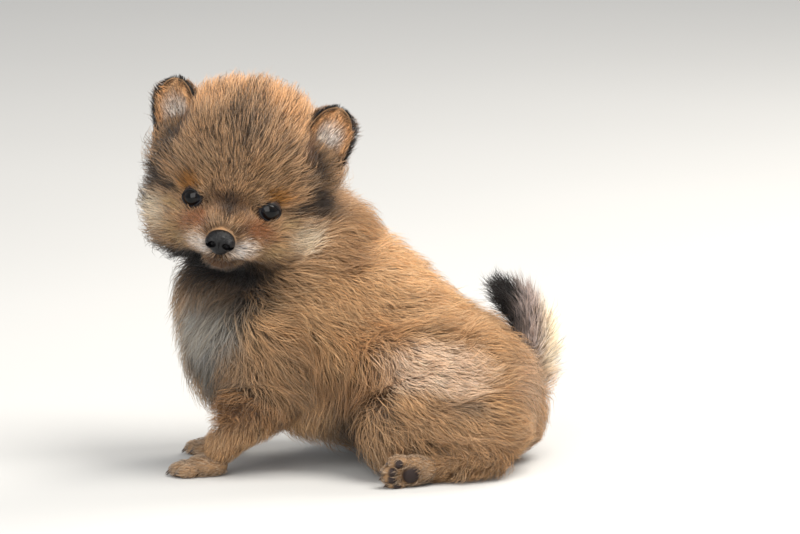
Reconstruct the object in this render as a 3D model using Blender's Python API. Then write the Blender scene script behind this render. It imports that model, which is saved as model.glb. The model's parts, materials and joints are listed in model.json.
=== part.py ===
"""A Pomeranian puppy of about eight weeks, life size, sitting with its head turned to its left.

The body faces -Y, the dog's left is +X and the floor is z = 0. Lengths are millimetres until a mesh
is made, and metres in the mesh."""

import math
import random

import bmesh
import bpy
import numpy as np
from mathutils import Matrix, Vector
from mathutils.bvhtree import BVHTree

MM = 0.001
GAP = 0.3
LEG_GAP = 0.4
SEED = 11

# The head's own frame: where its centre is, and how it is turned, nodded and tilted
HEAD_CENTRE = Vector((12, -56, 141.7))
HEAD_TURN = math.radians(76)
HEAD_NOD = math.radians(5)
HEAD_TILT = math.radians(9.5)

# Coat depths, from the skin to the tips
FACE_COAT = 2.2
HEAD_COAT = 16.5
BODY_COAT = 17.0
RUFF_EXTRA = 3.5
THIGH_COAT = 13.0
BELLY_COAT = 9.0
FLOOR_COAT = 4.0
CORE_SHARE = 0.5
SHORT_COAT = 5.0
LONG_COAT = 9.0

# Where those depths change: each reach is where the change starts and where it ends
HEAD_MIDDLE = (4, 0, 4)
HEAD_REACH = (38, 58)
MUZZLE_REACH = (20, 30)
RUFF_POINT = (0, -30, 108)
RUFF_REACH = (30, 75)
THIGH_REACH = (22, 45)
THIGH_FRONT = 10
LOW_REACH = (8, 40)
FLOOR_REACH = (-4, 14)

# The face, in the head's frame: forward, left, up
FACE_POINT = (44, 0, -10)
FACE_REACH = (22, 60)
EYE_PLACE = (23.2, 18.2, -2.0)
EYE_RADIUS = 7.0
EYE_LOOK = Vector((0.93, 0.34, 0.05)).normalized()
LID_OPENING = (5.5, 5.0)
LID_THICK = 1.1
NOSE_PLACE = (49.8, 0, -15.0)
NOSE_RADII = (5.0, 7.3, 6.2)
NOSTRIL_PLACE = (54.4, 3.6, -16.0)
NOSTRIL_RADII = (2.6, 1.5, 1.7)

# Sizes of the meshes
VOXEL = 1.8
PAW_VOXEL = 0.8
PAW_TRIANGLES = 160
NOSE_VOXEL = 0.6
NOSE_TRIANGLES = 150
FACE_TRIANGLES = 3600
CORE_TRIANGLES = 1250
FINE_FACE = 52


def head_axes():
    """Forward, left and up of the head, as unit vectors of the world."""
    level = Vector((math.sin(HEAD_TURN), -math.cos(HEAD_TURN), 0))
    up = Vector((0, 0, 1))
    forward = level * math.cos(HEAD_NOD) - up * math.sin(HEAD_NOD)
    left = up.cross(level)
    crown = forward.cross(left)
    leaning_left = left * math.cos(HEAD_TILT) - crown * math.sin(HEAD_TILT)
    leaning_up = crown * math.cos(HEAD_TILT) + left * math.sin(HEAD_TILT)
    return forward, leaning_left, leaning_up


FORWARD, LEFT, UP = head_axes()
HEAD_MATRIX = Matrix((FORWARD, LEFT, UP)).transposed().to_4x4()
HEAD_MATRIX.translation = HEAD_CENTRE


def on_head(place, side=1):
    """A point of the head's frame in the world, on the dog's left for side 1 and its right for -1."""
    ahead, left, up = place
    return HEAD_MATRIX @ Vector((ahead, left * side, up))


def in_head(points):
    """World points as rows of forward, left and up."""
    axes = np.array((FORWARD, LEFT, UP))
    return (points - np.array(HEAD_CENTRE)) @ axes.T


def smoothstep(low, high, value):
    share = np.clip((value - low) / (high - low), 0, 1)
    return share * share * (3 - 2 * share)


# Meshes


def mesh_object(name, points, faces):
    """A new object from points in millimetres, with its faces turned outwards."""
    mesh = bpy.data.meshes.new(name)
    mesh.from_pydata([tuple(p) for p in np.asarray(points, float) * MM], [], faces)
    shape = bmesh.new()
    shape.from_mesh(mesh)
    bmesh.ops.recalc_face_normals(shape, faces=shape.faces)
    if shape.calc_volume(signed=True) < 0:
        bmesh.ops.reverse_faces(shape, faces=shape.faces)
    shape.to_mesh(mesh)
    shape.free()
    made = bpy.data.objects.new(name, mesh)
    bpy.context.scene.collection.objects.link(made)
    return made


def discard(*objects):
    for item in objects:
        mesh = item.data
        bpy.data.objects.remove(item)
        if mesh.users == 0:
            bpy.data.meshes.remove(mesh)


def apply_modifiers(item):
    graph = bpy.context.evaluated_depsgraph_get()
    made = bpy.data.meshes.new_from_object(item.evaluated_get(graph))
    old = item.data
    item.modifiers.clear()
    item.data = made
    bpy.data.meshes.remove(old)
    return item


def copy_of(item, name):
    made = bpy.data.objects.new(name, item.data.copy())
    bpy.context.scene.collection.objects.link(made)
    return made


def combine(item, others, operation, solver="MANIFOLD"):
    """Joins, cuts or intersects item with closed mesh objects, in one Boolean, and removes those objects."""
    if not others:
        return item
    group = bpy.data.collections.new("pieces")
    for other in others:
        group.objects.link(other)
    cut = item.modifiers.new("combine", "BOOLEAN")
    cut.operand_type = "COLLECTION"
    cut.collection = group
    cut.operation = operation
    cut.solver = solver
    apply_modifiers(item)
    discard(*others)
    bpy.data.collections.remove(group)
    return item


def keep_largest(item):
    """Leaves only the largest closed surface, so that sealed hollows and loose scraps go."""
    shape = bmesh.new()
    shape.from_mesh(item.data)
    bmesh.ops.triangulate(shape, faces=shape.faces)
    shape.faces.ensure_lookup_table()
    seen = set()
    shells = []
    for face in shape.faces:
        if face in seen:
            continue
        shell = []
        stack = [face]
        seen.add(face)
        while stack:
            current = stack.pop()
            shell.append(current)
            for edge in current.edges:
                beyond = [other for other in edge.link_faces if other not in seen]
                if len(edge.link_faces) == 2 and beyond:
                    seen.update(beyond)
                    stack += beyond
        shells.append(shell)
    shells.sort(key=lambda shell: sum(face.calc_area() for face in shell))
    for shell in shells[:-1]:
        bmesh.ops.delete(shape, geom=shell, context="FACES")
    loose = [vertex for vertex in shape.verts if not vertex.link_faces]
    bmesh.ops.delete(shape, geom=loose, context="VERTS")
    shape.to_mesh(item.data)
    shape.free()
    return item


def curve_through(rows, steps):
    """Catmull-Rom rows between the given ones, steps to each stretch."""
    rows = np.asarray(rows, float)
    padded = np.vstack((2 * rows[0] - rows[1], rows, 2 * rows[-1] - rows[-2]))
    made = []
    for first in range(len(rows) - 1):
        a, b, c, d = padded[first : first + 4]
        for step in range(steps):
            t = step / steps
            row = 2 * b + (c - a) * t + (2 * a - 5 * b + 4 * c - d) * t * t
            made.append((row + (3 * b - a - 3 * c + d) * t**3) / 2)
    made.append(rows[-1])
    return np.array(made)


def tube(name, stations, across=(1, 0, 0), sides=16, steps=4, caps=3):
    """A closed round-ended tube. A station is x, y, z, half width along across, and half depth."""
    rows = curve_through(stations, steps)
    centres = rows[:, :3]
    along = np.gradient(centres, axis=0)
    along /= np.linalg.norm(along, axis=1)[:, None]
    rings = []
    for row, direction in zip(rows, along):
        rings.append((row[:3], direction, row[3], row[4]))
    angles = [math.pi / 2 * step / caps for step in range(caps - 1, 0, -1)]

    def domed(end, sign):
        centre, direction, width, depth = end
        reach = min(width, depth)
        ends = []
        for angle in angles:
            middle = centre + direction * sign * reach * math.sin(angle)
            ends.append((middle, direction, width * math.cos(angle), depth * math.cos(angle)))
        return ends

    rings = domed(rings[0], -1) + rings + domed(rings[-1], 1)[::-1]
    points = []
    for centre, direction, width, depth in rings:
        side = np.array(across, float)
        side -= direction * (side @ direction)
        side /= np.linalg.norm(side)
        third = np.cross(direction, side)
        for step in range(sides):
            turn = 2 * math.pi * step / sides
            points.append(centre + side * width * math.cos(turn) + third * depth * math.sin(turn))
    first, last = rows[0], rows[-1]
    points.append(first[:3] - along[0] * min(first[3], first[4]))
    points.append(last[:3] + along[-1] * min(last[3], last[4]))
    faces = []
    for ring in range(len(rings) - 1):
        for step in range(sides):
            a = ring * sides + step
            b = ring * sides + (step + 1) % sides
            faces.append((a, b, b + sides, a + sides))
    top = (len(rings) - 1) * sides
    for step in range(sides):
        after = (step + 1) % sides
        faces.append((after, step, len(points) - 2))
        faces.append((top + step, top + after, len(points) - 1))
    return mesh_object(name, points, faces)


def ball(name, centre, radii, matrix=None, detail=3):
    """An ellipsoid from an icosphere, with its radii along the world's axes or along matrix."""
    shape = bmesh.new()
    bmesh.ops.create_icosphere(shape, subdivisions=detail, radius=1)
    turn = matrix.to_3x3() if matrix else Matrix.Identity(3)
    for vertex in shape.verts:
        vertex.co = (Vector(centre) + turn @ Vector([c * r for c, r in zip(vertex.co, radii)])) * MM
    mesh = bpy.data.meshes.new(name)
    shape.to_mesh(mesh)
    shape.free()
    made = bpy.data.objects.new(name, mesh)
    bpy.context.scene.collection.objects.link(made)
    return made


def head_ball(name, place, radii, side=1, detail=3):
    return ball(name, on_head(place, side), radii, HEAD_MATRIX, detail)


def axis_matrix(axis, across=(1, 0, 0)):
    """A rotation whose Z is axis and whose X is nearest to across."""
    third = Vector(axis).normalized()
    first = Vector(across)
    first = (first - third * first.dot(third)).normalized()
    return Matrix((first, third.cross(first), third)).transposed()


def turned(name, centre, axis, profile, sides=40):
    """A closed solid of revolution. The profile is radius and height, from the axis back to the axis."""
    matrix = axis_matrix(axis)
    points = []
    inner = profile[1:-1]
    for radius, height in inner:
        for step in range(sides):
            turn = 2 * math.pi * step / sides
            spot = Vector((radius * math.cos(turn), radius * math.sin(turn), height))
            points.append(Vector(centre) + matrix @ spot)
    for _, height in (profile[0], profile[-1]):
        points.append(Vector(centre) + matrix @ Vector((0, 0, height)))
    faces = []
    for ring in range(len(inner) - 1):
        for step in range(sides):
            a = ring * sides + step
            b = ring * sides + (step + 1) % sides
            faces.append((a, b, b + sides, a + sides))
    top = (len(inner) - 1) * sides
    for step in range(sides):
        after = (step + 1) % sides
        faces.append((after, step, len(points) - 2))
        faces.append((top + step, top + after, len(points) - 1))
    return mesh_object(name, points, faces)


def floor_block():
    """Everything below the floor, to cut flats with."""
    half, deep = 300, 60
    corners = [(x, y, z) for z in (-deep, 0) for y in (-half, half) for x in (-half, half)]
    faces = [(0, 2, 3, 1), (4, 5, 7, 6), (0, 1, 5, 4), (2, 6, 7, 3), (0, 4, 6, 2), (1, 3, 7, 5)]
    return mesh_object("floor_block", corners, faces)


def voxelised(name, pieces, voxel, smoothing):
    """Closed pieces merged to one skin by a voxel remesh, then smoothed."""
    merged = bmesh.new()
    for piece in pieces:
        merged.from_mesh(piece.data)
    mesh = bpy.data.meshes.new(name)
    merged.to_mesh(mesh)
    merged.free()
    discard(*pieces)
    made = bpy.data.objects.new(name, mesh)
    bpy.context.scene.collection.objects.link(made)
    remesh = made.modifiers.new("remesh", "REMESH")
    remesh.mode = "VOXEL"
    remesh.voxel_size = voxel * MM
    soften = made.modifiers.new("soften", "SMOOTH")
    soften.factor = 0.5
    soften.iterations = smoothing
    return apply_modifiers(made)


# The flesh, without its coat


def flesh_pieces():
    """Muscle and bone as overlapping round forms, later merged into one skin."""
    torso = tube(
        "torso",
        [
            (0, -44, 86, 29, 31),
            (0, -20, 74, 34, 38),
            (0, 8, 60, 35, 37),
            (0, 35, 47, 37, 28),
            (0, 57, 34, 34, 23),
            (0, 70, 23.6, 26, 20),
        ],
    )
    breast = ball("breast", (0, -49, 73), (27, 23, 33))
    neck = tube(
        "neck",
        [(0, -33, 90, 31, 35), (2, -38, 110, 29, 31), (7, -48, 128, 27, 26), (10, -54, 138, 26, 25)],
    )
    nape = ball("nape", (2, -17, 104), (24, 21, 18))
    pieces = [torso, breast, neck, nape]
    for side in (1, -1):
        pieces.append(ball("shoulder", (24 * side, -42, 66), (13, 20, 28)))
        thigh = [(25 * side, 60, 42, 20, 20), (34 * side, 40, 34, 17, 20), (43 * side, 20, 27, 13, 15)]
        pieces.append(tube("thigh", thigh))
    pieces.append(head_ball("skull", (-4, 0, 9), (35, 33, 33)))
    pieces.append(head_ball("forehead", (11, 0, 8), (21, 26, 22)))
    for side in (1, -1):
        pieces.append(head_ball("cheek", (3, 20, -13), (22, 16.5, 18), side))
        pieces.append(head_ball("temple", (-3, 19, 4), (25, 15, 24), side))
        pieces.append(head_ball("brow", (23, 12, 4), (8, 8, 6), side))
        pieces.append(head_ball("lip", (36, 6, -17), (10.5, 6.5, 8), side))
    bridge = [(18, 0, -8), (30, 0, -12), (40, 0, -14.5), (44.5, 0, -16)]
    widths = [(17, 15), (13, 11), (9.5, 8), (7.5, 6.5)]
    pieces.append(tube("bridge", [(*on_head(p), *w) for p, w in zip(bridge, widths)], across=LEFT))
    chin = [(18, 0, -24), (32, 0, -26.5), (42, 0, -26)]
    widths = [(14, 9), (10, 5.5), (6.5, 4)]
    pieces.append(tube("chin", [(*on_head(p), *w) for p, w in zip(chin, widths)], across=LEFT))
    return pieces


def coat_depth(points):
    """How far the tips of the coat stand off the skin, at each point of the skin."""
    head = in_head(points)
    off_face = np.linalg.norm(head - np.array(FACE_POINT), axis=1)
    head_coat = FACE_COAT + (HEAD_COAT - FACE_COAT) * smoothstep(*FACE_REACH, off_face)
    ruff = np.linalg.norm(points - np.array(RUFF_POINT), axis=1)
    body_coat = BODY_COAT + RUFF_EXTRA * (1 - smoothstep(*RUFF_REACH, ruff))
    thigh = smoothstep(*THIGH_REACH, np.abs(points[:, 0])) * (points[:, 1] > THIGH_FRONT)
    body_coat = body_coat + (THIGH_COAT - body_coat) * thigh
    body_coat = BELLY_COAT + (body_coat - BELLY_COAT) * smoothstep(*LOW_REACH, points[:, 2])
    body_coat = FLOOR_COAT + (body_coat - FLOOR_COAT) * smoothstep(*FLOOR_REACH, points[:, 2])
    head_share = 1 - smoothstep(*HEAD_REACH, np.linalg.norm(head - np.array(HEAD_MIDDLE), axis=1))
    head_share = np.maximum(head_share, smoothstep(*MUZZLE_REACH, head[:, 0]))
    return body_coat + (head_coat - body_coat) * head_share


def core_depth(points):
    """How much of the coat is solid: all of short fur, and up to half of long fur, which locks finish."""
    depth = coat_depth(points)
    return depth * (1 + (CORE_SHARE - 1) * smoothstep(SHORT_COAT, LONG_COAT, depth))


def grown(skin, name, depth_at, voxel):
    """The skin moved out along its normals by a depth at each point, merged where it folds."""
    made = copy_of(skin, name)
    mesh = made.data
    points = np.empty(len(mesh.vertices) * 3)
    normals = np.empty(len(mesh.vertices) * 3)
    mesh.vertices.foreach_get("co", points)
    mesh.vertices.foreach_get("normal", normals)
    points = points.reshape(-1, 3) / MM
    points += normals.reshape(-1, 3) * depth_at(points)[:, None]
    mesh.vertices.foreach_set("co", (points * MM).ravel())
    mesh.update()
    return voxelised(name, [made], voxel, 6)


def decimated(item, triangles, fineness=None):
    """Thins a mesh to about so many triangles, and less where fineness, a function of a point, is high."""
    item.data.calc_loop_triangles()
    fewer = item.modifiers.new("fewer", "DECIMATE")
    fewer.ratio = triangles / len(item.data.loop_triangles)
    fewer.use_collapse_triangulate = True
    if fineness:
        group = item.vertex_groups.new(name="coarse")
        for vertex in item.data.vertices:
            group.add([vertex.index], 1 - fineness(vertex.co / MM), "REPLACE")
        fewer.vertex_group = group.name
        fewer.vertex_group_factor = 1.0
    return apply_modifiers(item)


def face_fineness(point):
    """Near the eyes and muzzle the mesh keeps more of its triangles."""
    return float(1 - smoothstep(0.7 * FINE_FACE, FINE_FACE, (point - on_head((40, 0, -8))).length))


def swollen(item, distance):
    """Moves each point out along its normal."""
    normals = [vertex.normal.copy() for vertex in item.data.vertices]
    for vertex, normal in zip(item.data.vertices, normals):
        vertex.co += normal * (distance * MM)
    return item


# Where the body is parted: the apex and axis of a shallow cone that slopes the way the coat lies

PARTING = {
    "head": ((4, -50, 129), (0.294, -0.407, 0.865)),
    "neck": ((0, -36, 101), (0, -0.22, 0.975)),
    "chest": ((0, -8, 66), (0, -0.86, 0.5)),
    "barrel": ((0, 32, 48), (0, -0.9, 0.43)),
}
PARTING_GAP = 0.35
PARTING_SLOPE = -0.3
PARTING_RIM = 64
PARTING_REACH = 170

# Each thigh is parted from the body by an ellipsoid
THIGH_OUT, THIGH_BACK, THIGH_HEIGHT = 46, 34, 32
THIGH_RADII = (32, 50, 46)


def region(name, shift=0.0):
    """The space on the far side of a parting surface, moved back along its axis by shift."""
    apex, axis = PARTING[name]
    start = Vector(apex) - Vector(axis).normalized() * shift
    drop = PARTING_SLOPE * PARTING_RIM
    profile = [
        (0, 0),
        (PARTING_RIM, drop),
        (PARTING_REACH, drop),
        (PARTING_REACH, PARTING_REACH),
        (0, PARTING_REACH),
    ]
    return turned(f"region_{name}", start, axis, profile)


def thigh_centre(side):
    return Vector((THIGH_OUT * side, THIGH_BACK, THIGH_HEIGHT))


def thigh_region(side, grow=0.0):
    return ball("region_thigh", thigh_centre(side), [radius + grow for radius in THIGH_RADII], detail=4)


# Limbs and other pieces with a shape of their own. Each can be made larger by a gap, to cut its seat.


def leg_tube(name, stations, grow):
    grown_stations = [(x, y, z, w + grow, d + grow) for x, y, z, w, d in stations]
    return tube(name, grown_stations, sides=9, steps=2, caps=2)


FRONT_LEGS = {
    1: [(27, -44, 42, 10, 10), (31, -51, 32, 12, 13), (31, -61, 21, 10.5, 11), (30, -69, 12, 8.4, 9)],
    -1: [(-26, -41, 42, 10, 10), (-29, -44, 32, 12, 13), (-29, -51, 21, 10.5, 11), (-27, -56, 12, 8.4, 9)],
}
HIND_LEGS = {
    1: [(50, 66, 13, 9, 9.5), (57, 56, 9.5, 8, 8.2), (62, 40, 9, 7.2, 7.6), (67, 28, 9, 6.8, 7.4)],
    -1: [(-42, 66, 13, 9, 9.5), (-46, 56, 8.5, 8, 8), (-49, 40, 7, 7.4, 7), (-51, 28, 6.5, 7.2, 6.2)],
}


def front_leg(side, grow=0.0):
    return leg_tube("front_leg", FRONT_LEGS[side], grow)


def hind_leg(side, grow=0.0):
    return leg_tube("hind_leg", HIND_LEGS[side], grow)


def claw(name, root, tip, radius):
    """A short bent cone."""
    root, tip = Vector(root), Vector(tip)
    middle = (root + tip) / 2 + Vector((0, 0, radius * 0.7))
    matrix = axis_matrix(tip - root)
    points = []
    sides = 4
    for centre, size in ((root, radius), (middle, radius * 0.75)):
        for step in range(sides):
            turn = 2 * math.pi * step / sides
            points.append(centre + matrix @ Vector((math.cos(turn), math.sin(turn), 0)) * size)
    points.append(tip)
    faces = [tuple(range(sides))[::-1]]
    for step in range(sides):
        after = (step + 1) % sides
        faces.append((step, after, after + sides, step + sides))
        faces.append((step + sides, after + sides, 2 * sides))
    return mesh_object(name, points, faces)


PALM_RADII = (9.5, 8.2, 5.6)
TOE_RADII = (5.8, 3.0, 3.8)
TOES = ((-1.5, 0.72), (-0.5, 1.0), (0.5, 1.0), (1.5, 0.72))
TOE_SPREAD = 4.1
TOE_LENGTH = 10.5
TOE_PAD_RADII = (2.6, 2.0, 1.9)
PALM_PAD_RADII = (4.2, 5.0, 2.4)
CLAW_RADIUS = 1.0


def paw(name, wrist, ahead, sole, grow=0.0, pads=False):
    """A foot of a palm, four toes and their claws. ahead is where it points and sole where its pads face."""
    ahead = Vector(ahead).normalized()
    sole = Vector(sole)
    sole = (sole - ahead * sole.dot(ahead)).normalized()
    beside = sole.cross(ahead)
    frame = Matrix((ahead, beside, sole)).transposed()
    wrist = Vector(wrist)
    pieces = [ball("palm", wrist + ahead * 6, PALM_RADII, frame)]
    claws = []
    for place, toe_reach in TOES:
        centre = wrist + ahead * (7 + TOE_LENGTH * toe_reach) + beside * (place * TOE_SPREAD) + sole * 1.2
        pieces.append(ball("toe", centre, TOE_RADII, frame))
        root = centre + ahead * 3.6 - sole * 0.4
        claws.append((root, root + ahead * 4.6 + sole * 1.8))
        if pads:
            pieces.append(ball("pad", centre + sole * 2.8 + ahead * 1.5, TOE_PAD_RADII, frame))
    if pads:
        pieces.append(ball("pad", wrist + ahead * 8.5 + sole * 4.4, PALM_PAD_RADII, frame))
    foot = decimated(voxelised(name, pieces, PAW_VOXEL, 2), PAW_TRIANGLES)
    if grow:
        return swollen(foot, grow * 1.5)
    return combine(foot, [claw("claw", root, tip, CLAW_RADIUS) for root, tip in claws], "UNION")


PAWS = {
    "front_left": dict(wrist=(30, -70, 4.9), ahead=(0.0, -1, -0.05), sole=(0, 0, -1)),
    "front_right": dict(wrist=(-26.5, -57, 4.9), ahead=(-0.05, -1, -0.05), sole=(0, 0, -1)),
    "hind_left": dict(wrist=(68, 30, 8.0), ahead=(0.28, -1, -0.02), sole=(0.94, 0.25, -0.25), pads=True),
    "hind_right": dict(wrist=(-51, 28, 4.9), ahead=(-0.08, -1, -0.05), sole=(0, 0, -1)),
}

TAIL_LINE = [
    (0, 80, 38, 8, 8),
    (0, 90, 50, 7, 7),
    (-2, 92, 62, 6, 6),
    (-3, 88, 73, 5, 5),
    (-4, 81, 81, 3.6, 3.6),
]
TAIL_CORE = 4.2
TAIL_OUTLINE = 10.5
TAIL_ROOT_TOP = 52


def tail_shape(extra):
    """The tail's flesh with a depth of coat around it."""
    stations = [(x, y, z, w + extra, d + extra) for x, y, z, w, d in TAIL_LINE]
    return tube("tail", stations, sides=10, steps=2, caps=2)


# The ear is a rounded leaf, cupped towards the face
EAR_ROOT = (-4, 37, 14)
EAR_TIP = (-8, 44.5, 46)
EAR_FACES = (0.90, 0.42, 0.05)
EAR_HALF_WIDTH = 13.5
EAR_CUP = 8.0
EAR_THICK = 2.6


def ear(side, grow=0.0):
    """A closed cupped leaf from its root, which lies in the head, to its round tip."""
    root, tip = on_head(EAR_ROOT, side), on_head(EAR_TIP, side)
    rise = tip - root
    height = rise.length
    rise.normalize()
    facing = HEAD_MATRIX.to_3x3() @ Vector((EAR_FACES[0], EAR_FACES[1] * side, EAR_FACES[2]))
    facing = (facing - rise * facing.dot(rise)).normalized()
    across = rise.cross(facing)
    columns, rows = 7, 7
    sheets = []
    for layer in (0, 1):
        sheet = []
        for row in range(rows):
            up = row / (rows - 1)
            width = EAR_HALF_WIDTH * (1 - 0.97 * up**3.4) ** 0.5 * (0.80 + 0.40 * up * (1.4 - up))
            line = []
            for column in range(columns):
                over = 2 * column / (columns - 1) - 1
                bend = math.radians(78) * over
                back = EAR_CUP * (1 - up**2 * 0.55) * (1 - math.cos(bend)) - EAR_CUP
                thick = EAR_THICK * (1 - 0.35 * up) / 2 * (1 - 0.45 * over * over)
                spot = root + rise * (up * height) + across * (width * math.sin(bend))
                spot = spot + facing * (back + (thick if layer else -thick))
                line.append(spot)
            sheet.append(line)
        sheets.append(sheet)
    points = [spot for sheet in sheets for line in sheet for spot in line]
    size = columns * rows
    faces = []

    def quad(a, b, c, d):
        faces.append((a, b, c))
        faces.append((a, c, d))

    for row in range(rows - 1):
        for column in range(columns - 1):
            a = row * columns + column
            quad(a, a + 1, a + columns + 1, a + columns)
            quad(size + a, size + a + columns, size + a + columns + 1, size + a + 1)
    for row in range(rows - 1):
        low, high = row * columns, (row + 1) * columns
        quad(low, high, size + high, size + low)
        low, high = low + columns - 1, high + columns - 1
        quad(low, size + low, size + high, high)
    for column in range(columns - 1):
        last = (rows - 1) * columns + column
        quad(column, size + column, size + column + 1, column + 1)
        quad(last, last + 1, size + last + 1, size + last)
    return swollen(mesh_object("ear", points, faces), grow * 1.6)


def eye_frame(side):
    look = HEAD_MATRIX.to_3x3() @ Vector((EYE_LOOK.x, EYE_LOOK.y * side, EYE_LOOK.z))
    return look, axis_matrix(look, HEAD_MATRIX.to_3x3() @ Vector((0, 1, -0.12 * side)))


def eye(side, grow=0.0, bands=8):
    """The eyeball, turned about the way it looks."""
    radius = EYE_RADIUS + grow
    angles = [math.pi * band / bands for band in range(bands + 1)]
    profile = [(radius * math.sin(a), -radius * math.cos(a)) for a in angles]
    return turned("eye", on_head(EYE_PLACE, side), eye_frame(side)[0], profile, sides=12)


def lid_ring(side, steps=14, sides=5):
    """The rim of both lids round one eye, an oval ring that follows the eyeball."""
    look, frame = eye_frame(side)
    centre = on_head(EYE_PLACE, side)
    points = []
    for step in range(steps):
        turn = 2 * math.pi * step / steps
        wide, high = (LID_OPENING[0] + LID_THICK * 0.7), (LID_OPENING[1] + LID_THICK * 0.7)
        flat = Vector((wide * math.cos(turn), high * math.sin(turn), 0))
        rise = math.sqrt(max(EYE_RADIUS**2 - flat.length_squared, 0.5))
        spine = flat + Vector((0, 0, rise + 0.25))
        outward = flat.normalized()
        for corner in range(sides):
            around = 2 * math.pi * corner / sides
            step_out = outward * math.cos(around) + Vector((0, 0, 1)) * math.sin(around)
            points.append(centre + frame @ (spine + step_out * LID_THICK))
    faces = []
    for step in range(steps):
        for corner in range(sides):
            a = step * sides + corner
            b = step * sides + (corner + 1) % sides
            c = ((step + 1) % steps) * sides + (corner + 1) % sides
            d = ((step + 1) % steps) * sides + corner
            faces.append((a, b, c, d))
    return mesh_object("lid", points, faces)


def eye_opening(side):
    """The oval hole through the face in front of an eye."""
    look, frame = eye_frame(side)
    centre = on_head(EYE_PLACE, side) + look * (EYE_RADIUS + 3)
    return ball("opening", centre, (LID_OPENING[0], LID_OPENING[1], 7.5), frame, 2)


def nose(grow=0.0):
    below = (NOSE_PLACE[0] - 0.8, 0, NOSE_PLACE[2] - 3.6)
    pieces = [head_ball("pad", NOSE_PLACE, NOSE_RADII), head_ball("base", below, (4.2, 4.0, 4.4))]
    made = decimated(voxelised("nose", pieces, NOSE_VOXEL, 2), NOSE_TRIANGLES)
    if grow:
        return swollen(made, grow * 1.4)
    holes = [head_ball("nostril", NOSTRIL_PLACE, NOSTRIL_RADII, side, 2) for side in (1, -1)]
    return combine(made, holes, "DIFFERENCE")


MOUTH_LINE = [(62, -25.5), (48, -26.5), (40, -24.6), (33, -23.2), (29, -23.6)]
JAW_FLOOR = [(29, -30), (29, -37), (62, -37)]
JAW_HALF_WIDTH = 10.5


def jaw_region(drop=0.0, grow=0.0):
    """The lower jaw's space: below the line of the mouth, which rises towards its corners."""
    outline = [(f, u - drop) for f, u in MOUTH_LINE] + [(f - grow, u) for f, u in JAW_FLOOR]
    half = JAW_HALF_WIDTH + grow
    points = [on_head((f, left, u)) for left in (-half, half) for f, u in outline]
    count = len(outline)
    faces = [tuple(range(count)), tuple(range(2 * count - 1, count - 1, -1))]
    for step in range(count):
        after = (step + 1) % count
        faces.append((step, step + count, after + count, after))
    made = mesh_object("jaw_region", points, faces)
    shape = bmesh.new()
    shape.from_mesh(made.data)
    bmesh.ops.triangulate(shape, faces=shape.faces)
    shape.to_mesh(made.data)
    shape.free()
    return made


def philtrum():
    """The thin groove from the nose down to the mouth."""
    place = (51.5, 0, -24.5)
    return head_ball("philtrum", place, (3.6, 0.45, 4.4), detail=2)


# The long coat. A lock is a list of rings along its spine: centre, three unit vectors and three half sizes.

LOCK_STATIONS = ((0.0, 0.0, 0.60, 0.0), (0.36, 0.74, 1.0, 0.7), (0.76, 0.94, 0.8, 0.4), (1.0, 1.0, 0.0, 0.0))
LOCK_SINK = 3.0
LOCK_FLATNESS = 0.25
LEAST_REACH = 4.0
LOCK_SIZES = {"head": (15.6, 28.0, 18.0), "body": (23.6, 41.0, 24.6), "tail": (12.0, 27.0, 13.5)}
LIE_WANDER = 0.26
LOCK_TRIES = 6000
MOST_BEND = 0.4
MOST_SHIFT = 8


def tree_of(item):
    mesh = item.data
    mesh.calc_loop_triangles()
    points = [vertex.co / MM for vertex in mesh.vertices]
    return BVHTree.FromPolygons(points, [tuple(t.vertices) for t in mesh.loop_triangles])


def lock_spine(root, normal, lie, length, width, core_tree, outline_tree):
    """The lock leaves the core at its root and bends over to follow the outline of the coat to its tip."""
    spine = []
    for along, height, share, fill in LOCK_STATIONS:
        half = width * share / 2
        thick = max(half * LOCK_FLATNESS, 0.5)
        if along == 0:
            spine.append((root - normal * LOCK_SINK, normal, half, thick, thick))
            continue
        target = root + lie * (length * along)
        low = core_tree.find_nearest(target)[0]
        high, outward = outline_tree.find_nearest(target)[:2]
        centre = low.lerp(high, height) - outward * (thick * share)
        spine.append((centre, outward, half, thick, (centre - low).length * fill))
    rings = []
    for index, (centre, outward, half, thick, deep) in enumerate(spine):
        before, after = spine[max(index - 1, 0)][0], spine[min(index + 1, len(spine) - 1)][0]
        along = (after - before).normalized()
        beside = along.cross(outward).normalized()
        rings.append((centre, along, beside, beside.cross(along), half, thick, deep))
    return rings


def moved_out(points, faces, distance):
    """Points shifted so that each flat triangle around them moves out by at least the distance."""
    points = np.array(points)
    a, b, c = (points[np.array(faces)[:, corner]] for corner in range(3))
    normals = np.cross(b - a, c - a)
    normals /= np.linalg.norm(normals, axis=1)[:, None]
    if (a * np.cross(b, c)).sum() < 0:
        normals = -normals
    shifted = points.copy()
    for index in range(len(points)):
        around = normals[[index in face for face in faces]]
        for _ in range(200):
            short = distance - around @ (shifted[index] - points[index])
            worst = short.argmax()
            if short[worst] < 0.01 * distance:
                break
            shifted[index] += around[worst] * short[worst]
    return shifted


def lock_surface(rings, grow=0.0):
    """Points and triangles of a lock, with a ridge along its middle and sides that hang towards the core."""
    points = []
    for centre, _, beside, outward, half, thick, deep in rings[:-1]:
        points += [centre - beside * half - outward * deep, centre + beside * half - outward * deep]
        points.append(centre + outward * thick)
    points.append(rings[-1][0])
    faces = [(0, 2, 1)]
    last = len(rings) - 2
    for ring in range(last):
        for step in range(3):
            a, b = ring * 3 + step, ring * 3 + (step + 1) % 3
            faces += [(a, b, b + 3), (a, b + 3, a + 3)]
    faces += [(last * 3 + step, last * 3 + (step + 1) % 3, len(points) - 1) for step in range(3)]
    return (moved_out(points, faces, grow) if grow else points), faces


def lock_mesh(rings, grow=0.0):
    """A closed flat tapered solid on a spine. grow makes it larger all round, to cut room for it."""
    return mesh_object("lock", *lock_surface(rings, grow))


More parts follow.
